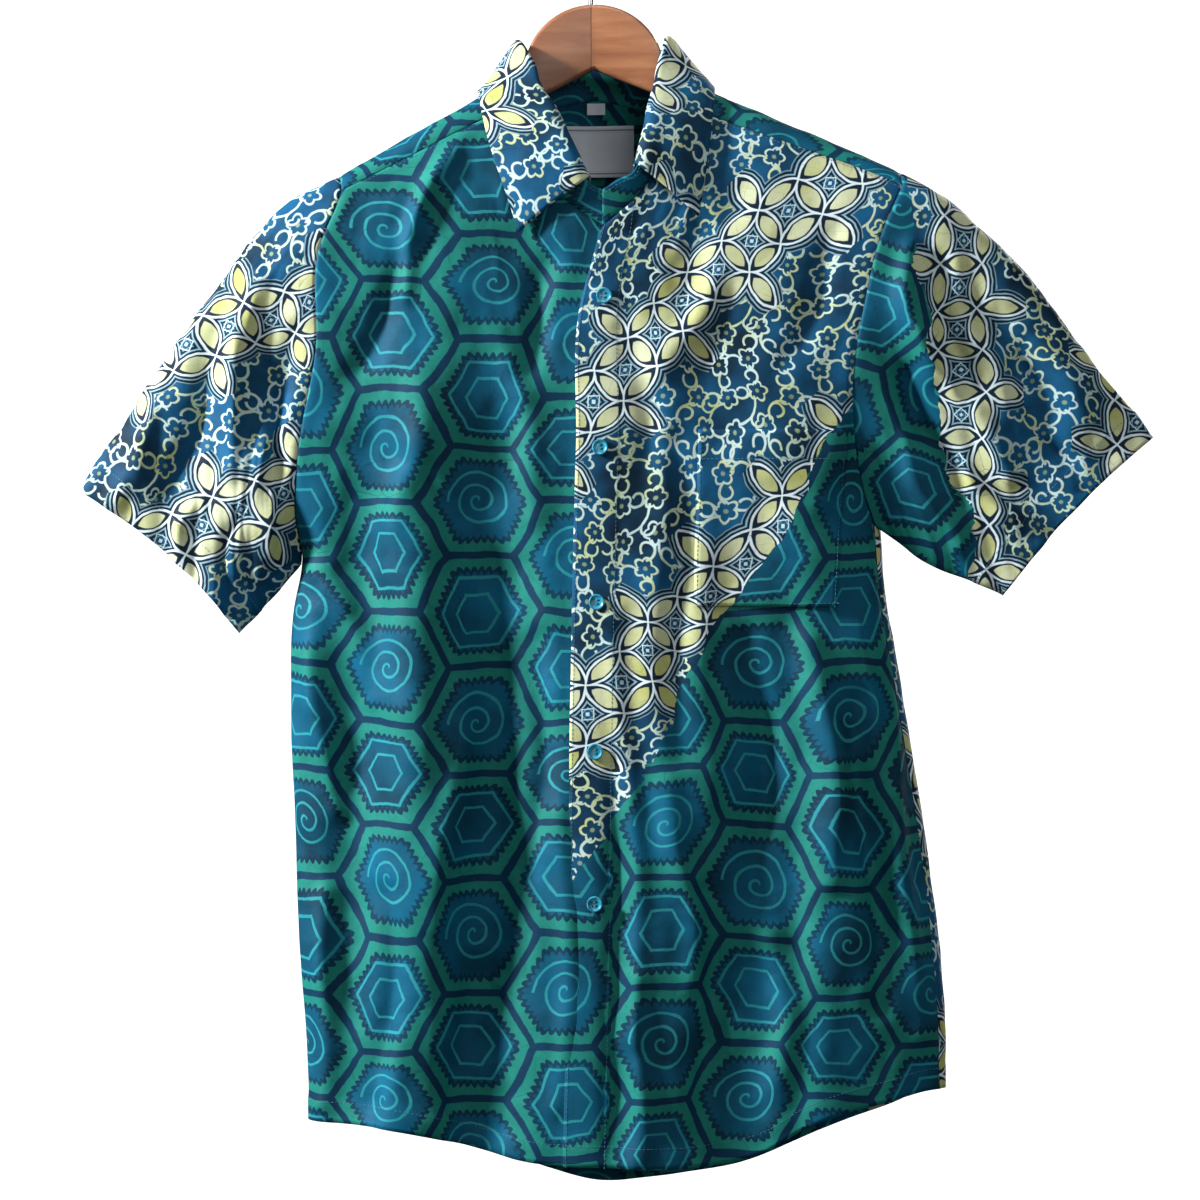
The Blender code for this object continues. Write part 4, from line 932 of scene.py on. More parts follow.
yoke = yoke_grid()
shown = creased("yoke", yoke, -1, seed=14, depth=0.7)
across, down = lengths(yoke, 1, True), lengths(yoke, 0)
yoke_u = across - across[:, across.shape[1] // 2, None]
yoke_v = down - YOKE_SEAM_DROP
piece = cloth_piece("yoke_cloth", shown, yoke_u + 20, yoke_v, -1, hexagon_batik)
dress(piece, "yoke", "hexagon_batik", yoke)


# ---- The sleeves
# Two short cut-on tubes, each set into its armhole with the seam under the arm. They droop over the
# hanger's ends and lie nearly flat at the cuff, which is turned up and stitched.
Cuff = namedtuple("Cuff", "top_x top_drop bend_x bend_drop low_x low_drop")
CUFF = {RIGHT: Cuff(-364, 412, -296, 461, -250, 514), LEFT: Cuff(406, 374, 347, 428, 299, 487)}
Outline = namedtuple("Outline", "share x drop")
UPPER = {
    RIGHT: [
        Outline(0, -180, 189), Outline(0.11, -213, 205), Outline(0.33, -259, 256), Outline(0.67, -315, 335),
        Outline(1, -364, 412),
    ],
    LEFT: [
        Outline(0, 204, 176), Outline(0.11, 232, 190), Outline(0.33, 285, 233), Outline(0.67, 347, 303),
        Outline(1, 406, 374),
    ],
}
LOWER = {
    RIGHT: [Outline(0, -205, 465), Outline(0.5, -229, 492), Outline(1, -250, 514)],
    LEFT: [Outline(0, 211, 438), Outline(0.5, 250, 464), Outline(1, 299, 487)],
}
CLOTH_TURN_DEG, UNFOLD_SIDEWAYS, UNFOLD_DOWN, BACK_HALF_AWAY = {RIGHT: -27.0, LEFT: 45.0}, 0.6, 0.8, 1000.0
CUFF_HALF_DEPTH, CUFF_MIDDLE_Y, CUFF_POWER, CUFF_WIDTH, SLEEVE_ROWS = 15.0, -8.0, 2.4, 24.0, 84
SLEEVE_FOLDS = {
    RIGHT: [Fold(0.62, 0.70, 0.80, 2.0, 6.0, 7.0, 0.13), Fold(0.40, 0.42, 0.45, -1.0, -4.0, -5.0, 0.12)],
    LEFT: [Fold(0.30, 0.36, 0.40, 3.0, 6.0, 4.0, 0.12), Fold(0.52, 0.58, 0.62, -2.0, -6.0, -6.0, 0.12)],
}
CREASES["sleeve_right"] = [
    Crease(-236, 260, -258, 400, 4.0, 9), Crease(-210, 300, -226, 420, -3.2, 9),
    Crease(-262, 300, -300, 420, -3.0, 11), Crease(-300, 350, -340, 420, 2.6, 10),
    Crease(-212, 400, -238, 470, 2.8, 9), Crease(-250, 430, -262, 500, -2.4, 9),
    Crease(-280, 420, -296, 470, 2.4, 9),
]
CREASES["sleeve_left"] = [
    Crease(226, 240, 240, 330, 4.2, 9), Crease(250, 250, 268, 340, -3.4, 9),
    Crease(244, 300, 300, 400, 3.6, 10), Crease(232, 330, 262, 420, -3.4, 10),
    Crease(280, 280, 330, 360, -2.6, 12), Crease(312, 300, 372, 372, 2.6, 12),
    Crease(268, 400, 318, 450, 3.0, 9), Crease(226, 380, 262, 450, 2.6, 9),
    Crease(320, 360, 352, 410, -2.6, 10),
]


def armhole(side):
    """The armhole from the shoulder line down its front and its back, both to the underarm."""
    low_row = (CELLS_TO_KNEE + CELLS_TO_UNDERARM) * FINE_DOWN
    column = 0 if side == RIGHT else -1
    end = yoke[:, column]
    ridge = int(np.argmax(end[:, 2]))
    down_front = np.concatenate([end[ridge:], fronts[side][low_row:-1, 0][::-1]])
    return down_front, np.concatenate([end[: ridge + 1][::-1], back[low_row:-1, column][::-1]])


def off_line(rows, t):
    """How far an outline stands off the straight line between its ends."""
    x, drop = (curve(t, rows, c) - blend(getattr(rows[0], c), getattr(rows[-1], c), t) for c in ("x", "drop"))
    return np.stack([x, 0 * x, -drop], axis=-1)


def sleeve_layer(side, branch, face):
    """One side of a sleeve, from the armhole's branch to the cuff: rows run down the sleeve."""
    cuff = CUFF[side]
    steps = np.linalg.norm(np.diff(branch, axis=0), axis=1)
    w = np.concatenate([[0], np.cumsum(steps) / steps.sum()])
    top, bend, low = (np.array([x, CUFF_MIDDLE_Y, -drop]) for x, drop in (cuff[:2], cuff[2:4], cuff[4:]))
    around = np.clip(1 - np.abs(2 * w - 1) ** CUFF_POWER, 0, 1) ** (1 / CUFF_POWER)
    pull, s = 2 * bend - (top + low) / 2, w[:, None]
    hem = top * (1 - s) ** 2 + pull * 2 * s * (1 - s) + low * s * s
    hem[:, 1] += face * CUFF_HALF_DEPTH * around
    t = np.linspace(0, 1, SLEEVE_ROWS + 1)[:, None]
    lift = 0
    for fold in SLEEVE_FOLDS[side]:
        middle, depth = (np.interp(t, (0, 0.5, 1), values) for values in (fold[:3], fold[3:6]))
        lift = lift + depth * np.exp(-(((w - middle) / fold.width) ** 2))
    grid = blend(branch[None], hem[None], t[..., None])
    grid = grid + blend(off_line(UPPER[side], t), off_line(LOWER[side], t), w[None, :, None])
    grid[..., 1] += face * lift * np.minimum(1.0, 4 * t) * around
    return grid


floral_sleeve = Batik("floral_batik")
floral_sleeve.band, floral_sleeve.period = 3.08, 4.0
floral_batik = floral_sleeve.finish_cloth(floral_sleeve.floral())
sleeve_batik = mixed_batik("floral_batik_left_sleeve", (1.18, -0.82), 261.0, 0.8, 4.0)
sleeve_shown = {}
for side, word, stuff in ((RIGHT, "right", floral_batik), (LEFT, "left", sleeve_batik)):
    down_front, down_back = armhole(side)
    before, behind = sleeve_layer(side, down_front, FRONT), sleeve_layer(side, down_back, BACK)
    half = before.shape[1] - 1
    grid = np.concatenate([before[:, :-1], behind[:, :0:-1]], axis=1)
    # The tube is turned so that it starts and ends under the arm, where its own seam is.
    grid = np.roll(grid, -half, axis=1)
    flip = 1 if side == LEFT else -1
    name = "sleeve_" + word
    shown = creased(name, grid, flip, ("high",), ring=True, seed=20 + side, depth=1.5)
    shown = hemmed(shown, flip, [("high", CUFF_WIDTH, 0.6)], ring=True)
    closed = np.concatenate([grid, grid[:, :1]], axis=1)
    ridge = grid.shape[1] - half
    # The cloth map is the flat cut: the front view, with the depth of the form added, unfolded at the top.
    steps = np.diff(closed, axis=1)
    extra = np.linalg.norm(steps, axis=2) - np.hypot(steps[..., 0], steps[..., 2])
    extra = np.concatenate([np.zeros((len(grid), 1)), np.cumsum(extra, axis=1)], axis=1)
    extra = np.abs(extra - extra[:, ridge, None])
    x, z = closed[..., 0] - side * UNFOLD_SIDEWAYS * extra, closed[..., 2] - UNFOLD_DOWN * extra
    turn = math.radians(CLOTH_TURN_DEG[side])
    u, v = x * math.cos(turn) + z * math.sin(turn), z * math.cos(turn) - x * math.sin(turn)
    u = u + BACK_HALF_AWAY * (np.arange(closed.shape[1]) < ridge)
    sleeve_shown[side] = shown
    piece = cloth_piece(name + "_cloth", shown, u, v, flip, stuff, ring=True)
    dress(piece, name, "floral_batik", closed)


# ---- The collar
# A stand sewn round the neckline and a pointed leaf that folds over it and lies on the yoke and
# the fronts. Both are two layers of cloth with a stiffener between, stitched near the edge.
Stand = namedtuple("Stand", "share rise_right lean_right rise_left lean_left back_by")
STAND = [
    Stand(0, 34, 3, 34, 3, -5), Stand(0.25, 32, 11, 32, 11, -3), Stand(0.417, 31.5, 21, 29, 18, 0),
    Stand(0.5, 28, 27, 24, 19.5, 0), Stand(0.583, 33, 26, 27, 17, -1), Stand(0.667, 34, 21, 28, 10.5, -2),
    Stand(0.75, 30.5, 15, 25.5, 4, -4), Stand(0.833, 25.5, 9, 21, -2, -4), Stand(0.917, 22.5, 2, 24, 0, -4),
    Stand(1.0, 26, 0, 26, 0, -3),
]
Leaf = namedtuple("Leaf", "share x_right drop_right x_left drop_left")
LEAF_EDGE = [
    Leaf(0.5, -76.5, 132, 90.5, 132), Leaf(0.6, -73, 152, 88.5, 155), Leaf(0.7, -66, 176, 85, 182),
    Leaf(0.833, -55, 208, 79.2, 218), Leaf(0.917, -48.2, 229, 76, 232),
]
LEAF_BACK_DROP, LEAF_FIRST, LEAF_LAST, LEAF_CLEAR = 140.0, 1, 22, 4.2
ROLL_HEIGHT, ROLL_WIDTH, LEAF_FORWARD, LEAF_FALL_CELLS = 4.2, 5.4, 1.2, 4
STAND_ROWS, LEAF_ROWS, COLLAR_CLOTH = 12, 34, 1.1
STAND_PRINT_ALONG, STAND_PRINT_DOWN, COLLAR_BAND = 22, 140, 5.0


def neck_seam():
    """The neckline's points from the right centre front, round the back, to the left one."""
    corner, neck = CORNER * FINE_ACROSS, NECK_CELLS * FINE_ACROSS
    round_back = yoke[-1, corner : corner + 2 * neck + 1]
    return np.concatenate([fronts[RIGHT][-1, corner:][::-1], round_back[1:-1], fronts[LEFT][-1, corner:]])


def stand_grid(seam):
    """Rows from the neck seam to the roll line; columns from the right front end to the left."""
    count = len(seam) - 1
    top = seam.copy()
    for number in range(count + 1):
        share = abs(2 * number / count - 1)
        side, name = (LEFT, "left") if number > count / 2 else (RIGHT, "right")
        rise, lean = (float(curve(share, STAND, c + name)) for c in ("rise_", "lean_"))
        inward = -side * lean if number != count / 2 else 0
        top[number] += (inward, float(curve(share, STAND, "back_by")), rise)
    return blend(seam[None], top[None], np.linspace(0, 1, STAND_ROWS + 1)[:, None, None])


def leaf_edge(share, side):
    """A point of the leaf's outer edge, just clear of what it lies on."""
    name = "right" if side == RIGHT else "left"
    first = LEAF_EDGE[0]
    turn = min(1.0, share / first.share) * math.pi / 2
    x = float(curve(max(share, first.share), LEAF_EDGE, "x_" + name))
    drop = float(curve(max(share, first.share), LEAF_EDGE, "drop_" + name))
    arch = arch_of(max(0.0, drop - float(curve(x, RIDGE, "drop"))), 1)
    behind = arch_of(LEAF_BACK_DROP - float(curve(NECK_MIDDLE_X, RIDGE, "drop")), -1)
    x = NECK_MIDDLE_X + (x - NECK_MIDDLE_X) * math.sin(turn)
    arch = blend(behind, arch, 1 - math.cos(turn))
    across = arch_point(x + 1, arch) - arch_point(x - 1, arch)
    along = arch_point(x, arch + 1) - arch_point(x, arch - 1)
    normal = np.cross(along, across)
    return arch_point(x, arch) + normal / np.linalg.norm(normal) * LEAF_CLEAR


def smooth_through(points, count):
    """A smooth line through points, evenly stepped along it."""
    run = np.concatenate([[0], np.cumsum(np.linalg.norm(np.diff(points, axis=0), axis=1))])
    slopes = np.gradient(points, run, axis=0)
    at = np.linspace(0, run[-1], count)
    k = np.clip(np.searchsorted(run, at, side="right") - 1, 0, len(run) - 2)
    span = (run[k + 1] - run[k])[:, None]
    t = (at - run[k])[:, None] / span
    return (
        (1 + 2 * t) * (1 - t) ** 2 * points[k] + t * (1 - t) ** 2 * span * slopes[k]
        + t * t * (3 - 2 * t) * points[k + 1] + t * t * (t - 1) * span * slopes[k + 1]
    )


def leaf_grid(stand):
    """Rows from the stand's top edge, over the roll, to the outer edge."""
    count = stand.shape[1] - 1
    top = stand[-1]
    rows = []
    for number in range(LEAF_FIRST * FINE_ACROSS, LEAF_LAST * FINE_ACROSS + 1):
        share = abs(2 * number / count - 1)
        edge = leaf_edge(share, RIGHT if number < count / 2 else LEFT)
        out = edge - top[number]
        out[2] = 0
        out /= np.linalg.norm(out)
        out[1] -= LEAF_FORWARD * min(1.0, max(0.0, (share - 0.5) / 0.15))
        out /= np.linalg.norm(out)
        start = top[number] + np.array([0, 0, 0.5]) - out * 1.2
        up = np.array([0, 0, ROLL_HEIGHT])
        roll = out * ROLL_WIDTH
        line = [start, start + 0.7 * up + out * 0.3, start + up + roll * 0.45, start + 0.6 * up + roll]
        last = line[-1]
        for cell in range(1, LEAF_FALL_CELLS + 1):
            t = cell / LEAF_FALL_CELLS
            line.append(blend(last, edge, t) + out * 2.2 * math.sin(math.pi * t))
        rows.append(smooth_through(np.array(line), LEAF_ROWS + 1))
    return np.array(rows).transpose(1, 0, 2)


stand = stand_grid(neck_seam())
leaf = leaf_grid(stand)
across, down = lengths(stand, 1), lengths(stand, 0)
stand_u = across - across[:, across.shape[1] // 2, None] + STAND_PRINT_ALONG
stand_shown = creased("collar_stand", stand, -1, ("high", "first", "last"), seed=31, depth=0.35)
stand_shown = hemmed(stand_shown, -1, [("high", 4.0, 0.3)])
piece = cloth_piece(
    "collar_stand_cloth", stand_shown, stand_u, down - STAND_PRINT_DOWN, -1, hexagon_batik, wall=COLLAR_CLOTH
)
dress(piece, "collar_stand", "hexagon_batik", stand)
across, down = lengths(leaf, 1), lengths(leaf, 0)
middle_row = across[LEAF_ROWS // 2]
leaf_shown = creased("collar_leaf", leaf, -1, ("low", "high", "first", "last"), seed=33, depth=0.5)
leaf_shown = hemmed(leaf_shown, -1, [(border, COLLAR_BAND, 0.3) for border in ("high", "first", "last")])
leaf_u = np.broadcast_to(middle_row - middle_row[-1] / 2, down.shape)
piece = cloth_piece("collar_leaf_cloth", leaf_shown, leaf_u, -down, -1, floral_batik, wall=COLLAR_CLOTH)
dress(piece, "collar_leaf", "floral_batik", leaf)


# ---- The pocket
# A patch pocket of the same cloth on the wearer's left chest, with its print matched to the front.
# Its top edge is a wide turned hem and the other three are folded under and stitched.
POCKET_ROWS = slice(CELLS_TO_KNEE * FINE_DOWN, (CELLS_TO_KNEE + 4) * FINE_DOWN + 1)
POCKET_COLUMNS = slice(EDGE_CELLS * FINE_ACROSS, CORNER * FINE_ACROSS + 1)
shown, u, v = (a[POCKET_ROWS, POCKET_COLUMNS] for a in front_shown[LEFT])
height = np.linspace(0, 1, shown.shape[0])[:, None]
breadth = np.linspace(0, 1, shown.shape[1])[None, :]
puff = 1.5 + 1.3 * np.sin(math.pi * breadth) * height**1.5
pocket_shown = shown + cross_normals(shown, -1) * puff[..., None]
pocket_bands = [("high", 22.0, 0.5)] + [(border, 2.5, 0.35) for border in ("low", "first", "last")]
pocket_shown = hemmed(pocket_shown, -1, pocket_bands)
piece = cloth_piece("pocket_cloth", pocket_shown, u, v, -1, floral_left)
dress(piece, "pocket", "floral_batik", pocket_shown)


# ---- The neck label and the size tab
# Two small woven patches, stitched inside the back of the yoke below the collar. Both are left
# bare: satin ground, a plain woven border and cut ends.
LABEL_MIDDLE = 0.1645
label_weave = Finish("woven_label", 0.55, Sheen_Weight=0.3, Specular_IOR_Level=0.4)
place = label_weave.node("TexCoord").outputs["Object"]
split = label_weave.node("SeparateXYZ", None, Vector=place)
x, z = label_weave.number(split.outputs[0]), label_weave.number(split.outputs[2])
threads = (x * 9000.0).sin() * (z * 7000.0).sin()
ribs = (z * 2600.0).sin()
cloud = label_weave.noise(place, 60.0, 3.0)
tone = label_weave.mix(cloud, "#dde6f2", "#eaf1fa")
tone = label_weave.mix((abs(abs(z + LABEL_MIDDLE) - 0.0155) * 1000.0 - 0.55).inside(0.4), tone, "#8b95a3")
ruled = (abs(abs(z + LABEL_MIDDLE) - 0.0138) * 1000.0 - 0.25).inside(0.3)
tone = label_weave.mix(ruled * 0.8, tone, "#c3ccd6")
relief = label_weave.bump(threads + ribs * 0.4, 0.00006, 0.6)
woven_label = label_weave.paint(tone, 0.5 + cloud * 0.15, relief)
for name, xs, drops in (
    ("neck_label", (-17.0, 34.0), (146.0, 183.0)), ("size_tab", (0.0, 13.0), (130.0, 138.0)),
):
    spread_x, spread_drop = np.meshgrid(np.linspace(*xs, 41), np.linspace(*drops[::-1], 31))
    grid = body_points(spread_x, spread_drop, False)
    grid[..., 1] -= 3.1 + 0.35 * np.cos((spread_x - xs[0]) / (xs[1] - xs[0]) * math.pi * 2)
    piece = cloth_piece(name + "_woven", grid, spread_x, -spread_drop, 1, woven_label, wall=0.45)
    if name == "neck_label":
        dress(piece, name, "woven_label", grid)
    else:
        fasten(piece, name)


# ---- The buttons
# Five turned resin buttons with a rim, a dished face and four holes, each sewn on through the
# left front with two bars of thread.
BUTTON_DROPS = (274.0, 382.0, 492.0, 598.0, 706.0)
BUTTON_RADIUS, BUTTON_RIM, BUTTON_DISH, BUTTON_SIDES = 5.7, 2.4, 1.5, 56
HOLE_RADIUS, HOLE_SPACING, STRAND_RADIUS = 0.8, 1.35, 0.13
resin = Finish("button_resin", 0.28, Specular_IOR_Level=0.5, Coat_Weight=0.25, Coat_Roughness=0.15)
place = resin.node("TexCoord").outputs["Object"]
swirl = resin.noise(place, 260.0, 3.0, 0.6)
grain = resin.noise(place, 1800.0, 2.0)
button_resin = resin.paint(
    resin.mix((swirl - 0.4) * 3.0, "#14708c", "#3fb0cc"), 0.24 + grain * 0.14, resin.bump(grain, 0.00003, 0.3)
)
thread = Finish("sewing_thread", 0.7, Sheen_Weight=0.3)
place = thread.node("TexCoord").outputs["Object"]
ply = thread.noise(place, 900.0, 2.0)
sewing_thread = thread.paint(
    thread.mix(ply, "#15536b", "#2f86a0"), 0.6 + ply * 0.2, thread.bump(ply, 0.00005, 0.6)
)


def settled_mesh(draft, *helpers):
    """The finished mesh of a draft object, which is then thrown away with its helpers."""
    made = bpy.data.meshes.new_from_object(draft.evaluated_get(bpy.context.evaluated_depsgraph_get()))
    for item in (draft, *helpers):
        bpy.data.objects.remove(item)
    return made


def turned_button():
    """The disc with its holes, and the thread in them, lying in XY with the face to +Z."""
    outside, rim = [(0.7, 0), (0.2, 0.25), (0, 0.8), (0, 1.6), (0.25, 2.15)], (0.8, BUTTON_RIM)
    inset = [*outside, rim, (1.3, 2.2), (1.9, 1.7), (2.6, BUTTON_DISH)]
    profile = [(0, 0), *((BUTTON_RADIUS - inwards, z) for inwards, z in inset), (0, BUTTON_DISH)]
    work = bmesh.new()
    line = [work.verts.new((x * MM, 0, z * MM)) for x, z in profile]
    edges = [work.edges.new(pair) for pair in zip(line, line[1:])]
    bmesh.ops.spin(
        work, geom=line + edges, axis=(0, 0, 1), cent=(0, 0, 0), steps=BUTTON_SIDES, angle=2 * math.pi
    )
    bmesh.ops.remove_doubles(work, verts=work.verts, dist=1e-6)
    bmesh.ops.recalc_face_normals(work, faces=work.faces)
    mesh = bpy.data.meshes.new("turned_button")
    work.to_mesh(mesh)
    work.free()
    work = bmesh.new()
    for n in range(4):
        turn = math.pi / 4 + n * math.pi / 2
        spot = Vector((math.cos(turn), math.sin(turn), 0)) * HOLE_SPACING * math.sqrt(2) * MM
        bmesh.ops.create_cone(
            work, cap_ends=True, segments=20, radius1=HOLE_RADIUS * MM, radius2=HOLE_RADIUS * MM,
            depth=8 * MM, matrix=Matrix.Translation(spot),
        )
    drill_mesh = bpy.data.meshes.new("drill")
    work.to_mesh(drill_mesh)
    work.free()
    disc, drill = placed("disc", mesh), placed("drill", drill_mesh)
    cut = disc.modifiers.new("holes", "BOOLEAN")
    cut.operation, cut.object = "DIFFERENCE", drill
    return settled_mesh(disc, drill)


def thread_bars():
    """Two bars of thread between pairs of holes, each of four strands."""
    points, faces = [], []
    for bar in (-1, 1):
        for strand in (-0.33, -0.11, 0.11, 0.33):
            start = len(points)
            for step in range(9):
                t = step / 8
                y = blend(-HOLE_SPACING, HOLE_SPACING, t)
                z = BUTTON_DISH - 0.5 + 0.85 * math.sin(math.pi * t) ** 0.6
                for turn in range(6):
                    a = turn * math.pi / 3
                    x = bar * HOLE_SPACING + strand + STRAND_RADIUS * math.cos(a)
                    points.append((x, y, z + STRAND_RADIUS * math.sin(a)))
            for step in range(8):
                for turn in range(6):
                    a, b = start + step * 6 + turn, start + step * 6 + (turn + 1) % 6
                    faces.append((a, b, b + 6, a + 6))
    mesh = bpy.data.meshes.new("thread_bars")
    mesh.from_pydata([tuple(v * MM for v in p) for p in points], [], faces)
    return mesh


disc_mesh, bars_mesh = turned_button(), thread_bars()
shown = front_shown[LEFT][0]
facing = cross_normals(shown, -1)
for number, drop in enumerate(BUTTON_DROPS, 1):
    x = float(curve(drop, CENTRE, "x"))
    near = np.unravel_index(np.argmin(np.hypot(shown[..., 0] - x, shown[..., 2] + drop)), shown.shape[:2])
    out = Vector(facing[near])
    turned = out.to_track_quat("Z", "X").to_matrix().to_4x4()
    spot = Vector((x, float(shown[near][1]), -drop)) + out * 0.9
    place = Matrix.Translation(spot * MM) @ turned @ Matrix.Rotation(0.1 * (number % 3 - 1), 4, "Z")
    for word, mesh, stuff in (("turned", disc_mesh, button_resin), ("threads", bars_mesh, sewing_thread)):
        made = mesh.copy()
        made.transform(place)
        made.materials.clear()
        made.materials.append(stuff)
        made.shade_smooth()
        made.set_sharp_from_angle(angle=math.radians(40))
        piece = placed(f"button_{number}_{word}", made)
        fasten(piece, f"button_{number}" if word == "turned" else None)


# ---- The hanger
# Varnished wood, sawn in two halves that are glued at the middle, rounded all over. Its arms come
# forward and down, and carry the shoulders of the shirt.
HANGER_TILT_DEG, HANGER_HALF_LENGTH, HANGER_TOP_DROP, HANGER_ARC_RADIUS = 2.8, 211.0, 62.0, 51.0
ARM_TOP_DROP, ARM_TOP_SLOPE, ARM_DROOP, ARM_DROOP_FROM = 95.2, 0.4986, 0.0016, 140.0
ARM_LOW_DROP, ARM_LOW_SLOPE, ARM_LOW_STEEPER, ARM_LOW_STEEPER_FROM = 108.8, 0.462, 0.09, 50.0
WOOD_HALF_THICKNESS, WOOD_ROUND, WOOD_SIDES, WOOD_STATIONS = 6.4, 3.9, 28, 150


def wood_top(x):
    x = abs(x)
    if x < HANGER_ARC_RADIUS - 0.1:
        return HANGER_TOP_DROP + HANGER_ARC_RADIUS - math.sqrt(HANGER_ARC_RADIUS**2 - x * x)
    return ARM_TOP_DROP + ARM_TOP_SLOPE * x + ARM_DROOP * max(0, x - ARM_DROOP_FROM) ** 2


points, faces = [], []
for station in range(WOOD_STATIONS + 1):
    crowded = HANGER_HALF_LENGTH * math.sin(math.pi * (station / WOOD_STATIONS - 0.5)) * 0.5
    x = crowded + HANGER_HALF_LENGTH * (2 * station / WOOD_STATIONS - 1) * 0.5
    end = max(0.0, (abs(x) - HANGER_HALF_LENGTH + 5) / 5)
    top = -wood_top(x)
    low = -(ARM_LOW_DROP + ARM_LOW_SLOPE * abs(x) + ARM_LOW_STEEPER * max(0, abs(x) - ARM_LOW_STEEPER_FROM))
    shrink = math.sqrt(max(0.0, 1 - end * end)) * 0.75 + 0.25
    middle, half_high, half_deep = (top + low) / 2, (top - low) / 2 * shrink, WOOD_HALF_THICKNESS * shrink
    corner = min(WOOD_ROUND, half_deep * 0.7)
    for n in range(WOOD_SIDES):
        a = 2 * math.pi * n / WOOD_SIDES
        y = math.copysign(max(0, half_deep - corner), math.cos(a)) + corner * math.cos(a)
        z = math.copysign(max(0, half_high - corner), math.sin(a)) + corner * math.sin(a)
        points.append((x, y + float(hanger_forward(x)), middle + z))
for station in range(WOOD_STATIONS):
    for n in range(WOOD_SIDES):
        a, b = station * WOOD_SIDES + n, station * WOOD_SIDES + (n + 1) % WOOD_SIDES
        faces.append((a, b, b + WOOD_SIDES, a + WOOD_SIDES))
faces += [tuple(range(WOOD_SIDES))[::-1], tuple(len(points) - WOOD_SIDES + n for n in range(WOOD_SIDES))]
tilt = Matrix.Rotation(-math.radians(HANGER_TILT_DEG), 3, "Y")
mesh = bpy.data.meshes.new("hanger_wood")
mesh.from_pydata([tilt @ Vector(p) * MM for p in points], [], faces)
work = bmesh.new()
work.from_mesh(mesh)
bmesh.ops.recalc_face_normals(work, faces=work.faces)
work.to_mesh(mesh)
work.free()

varnish = Finish("hanger_wood", 0.35, Coat_Weight=0.35, Coat_Roughness=0.2, Specular_IOR_Level=0.45)
place = varnish.node("TexCoord").outputs["Object"]
split = varnish.node("SeparateXYZ", None, Vector=place)
x = varnish.number(split.outputs[0])
half = (x - 0.003).over(0.0)
laid, other = (
    varnish.node("Mapping", None, Vector=place, Rotation=slant, Scale=(9.0, 120.0, 120.0)).outputs[0]
    for slant in ((0.0, 0.42, 0.1), (0.0, -0.42, 0.2))
)
grain = varnish.noise(laid, 1.0, 5.0, 0.62) * (1.0 - half) + varnish.noise(other, 1.0, 5.0, 0.62) * half
pore = varnish.noise(other, 6.0, 3.0, 0.7)
tone = varnish.mix((grain - 0.3) * 2.2, "#8a563a", "#b98059")
# Painted shade: the half at negative x, on the camera's left, is darkened for its face turned away from the key
# light; the grain choice above is the real split of the two halves.
tone = varnish.mix((1.0 - half) * 0.34, tone, "#7c4a33")
tone = varnish.mix((pore - 0.56).math("MULTIPLY", 3.5, clamp=True) * 0.5, tone, "#6d4029")
tone = varnish.mix((abs(x - 0.003) * 1000.0 - 0.35).inside(0.4) * 0.8, tone, "#3e2113")
hanger_wood = varnish.paint(tone, 0.3 + pore * 0.18, varnish.bump(grain + pore * 0.5, 0.00025, 0.35))
mesh.materials.append(hanger_wood)
mesh.shade_smooth()
fasten(placed("hanger_rounded", mesh), "hanger")


# ---- The hook
# Plated wire, screwed into the top of the wood through a small ferrule, bent once to come back over
# the screw and then round to lie over a rail.
HOOK_RADIUS, HOOK_WIRE_RADIUS, HOOK_OPEN_DEG = 21.0, 2.0, 200.0
plating = Finish("hook_wire", 0.2, Metallic=1.0)
place = plating.node("TexCoord").outputs["Object"]
stretched = plating.node("Mapping", None, Vector=place, Scale=(300.0, 300.0, 40.0)).outputs[0]
drawn = plating.noise(stretched, 3.0, 3.0)
hook_wire = plating.paint(
    plating.mix(drawn, "#b7b9bb", "#dcdddd"), 0.14 + drawn * 0.2, plating.bump(drawn, 0.00002, 0.4)
)
inside_top = HOOK_RADIUS - HOOK_WIRE_RADIUS
path = [(0, -HANGER_TOP_DROP + 0.3), (0, -HANGER_TOP_DROP + 4), (0, -HANGER_TOP_DROP + 8)]
low = -inside_top - HOOK_RADIUS
path += [(0, low - 7), (-3, low - 1.5)]
for n in range(61):
    angle = math.radians(-110 - n * HOOK_OPEN_DEG / 60)
    path.append((HOOK_RADIUS * math.cos(angle), -inside_top + HOOK_RADIUS * math.sin(angle)))
wire = bpy.data.curves.new("hook", "CURVE")
wire.dimensions, wire.use_fill_caps = "3D", True
wire.bevel_depth, wire.bevel_resolution = HOOK_WIRE_RADIUS * MM, 6
line = wire.splines.new("POLY")
line.points.add(len(path) - 1)
for point, (x, z) in zip(line.points, path):
    point.co = (*(tilt @ Vector((x, 0, z)) * MM), 1)
mesh = settled_mesh(placed("hook_draft", wire))
mesh.materials.clear()
mesh.materials.append(hook_wire)
mesh.shade_smooth()
mesh.set_sharp_from_angle(angle=math.radians(60))
fasten(placed("hook_bent", mesh), "hook")


# ---- The topstitching
# Lockstitch in blue thread along the placket, the hems, the cuffs, the collar, the yoke seams and
# the pocket. Each stitch is a short rounded bar, laid in the direction of its line.
STITCH_PITCH, STITCH_LENGTH, STITCH_THICK = 3.0, 2.1, 0.42


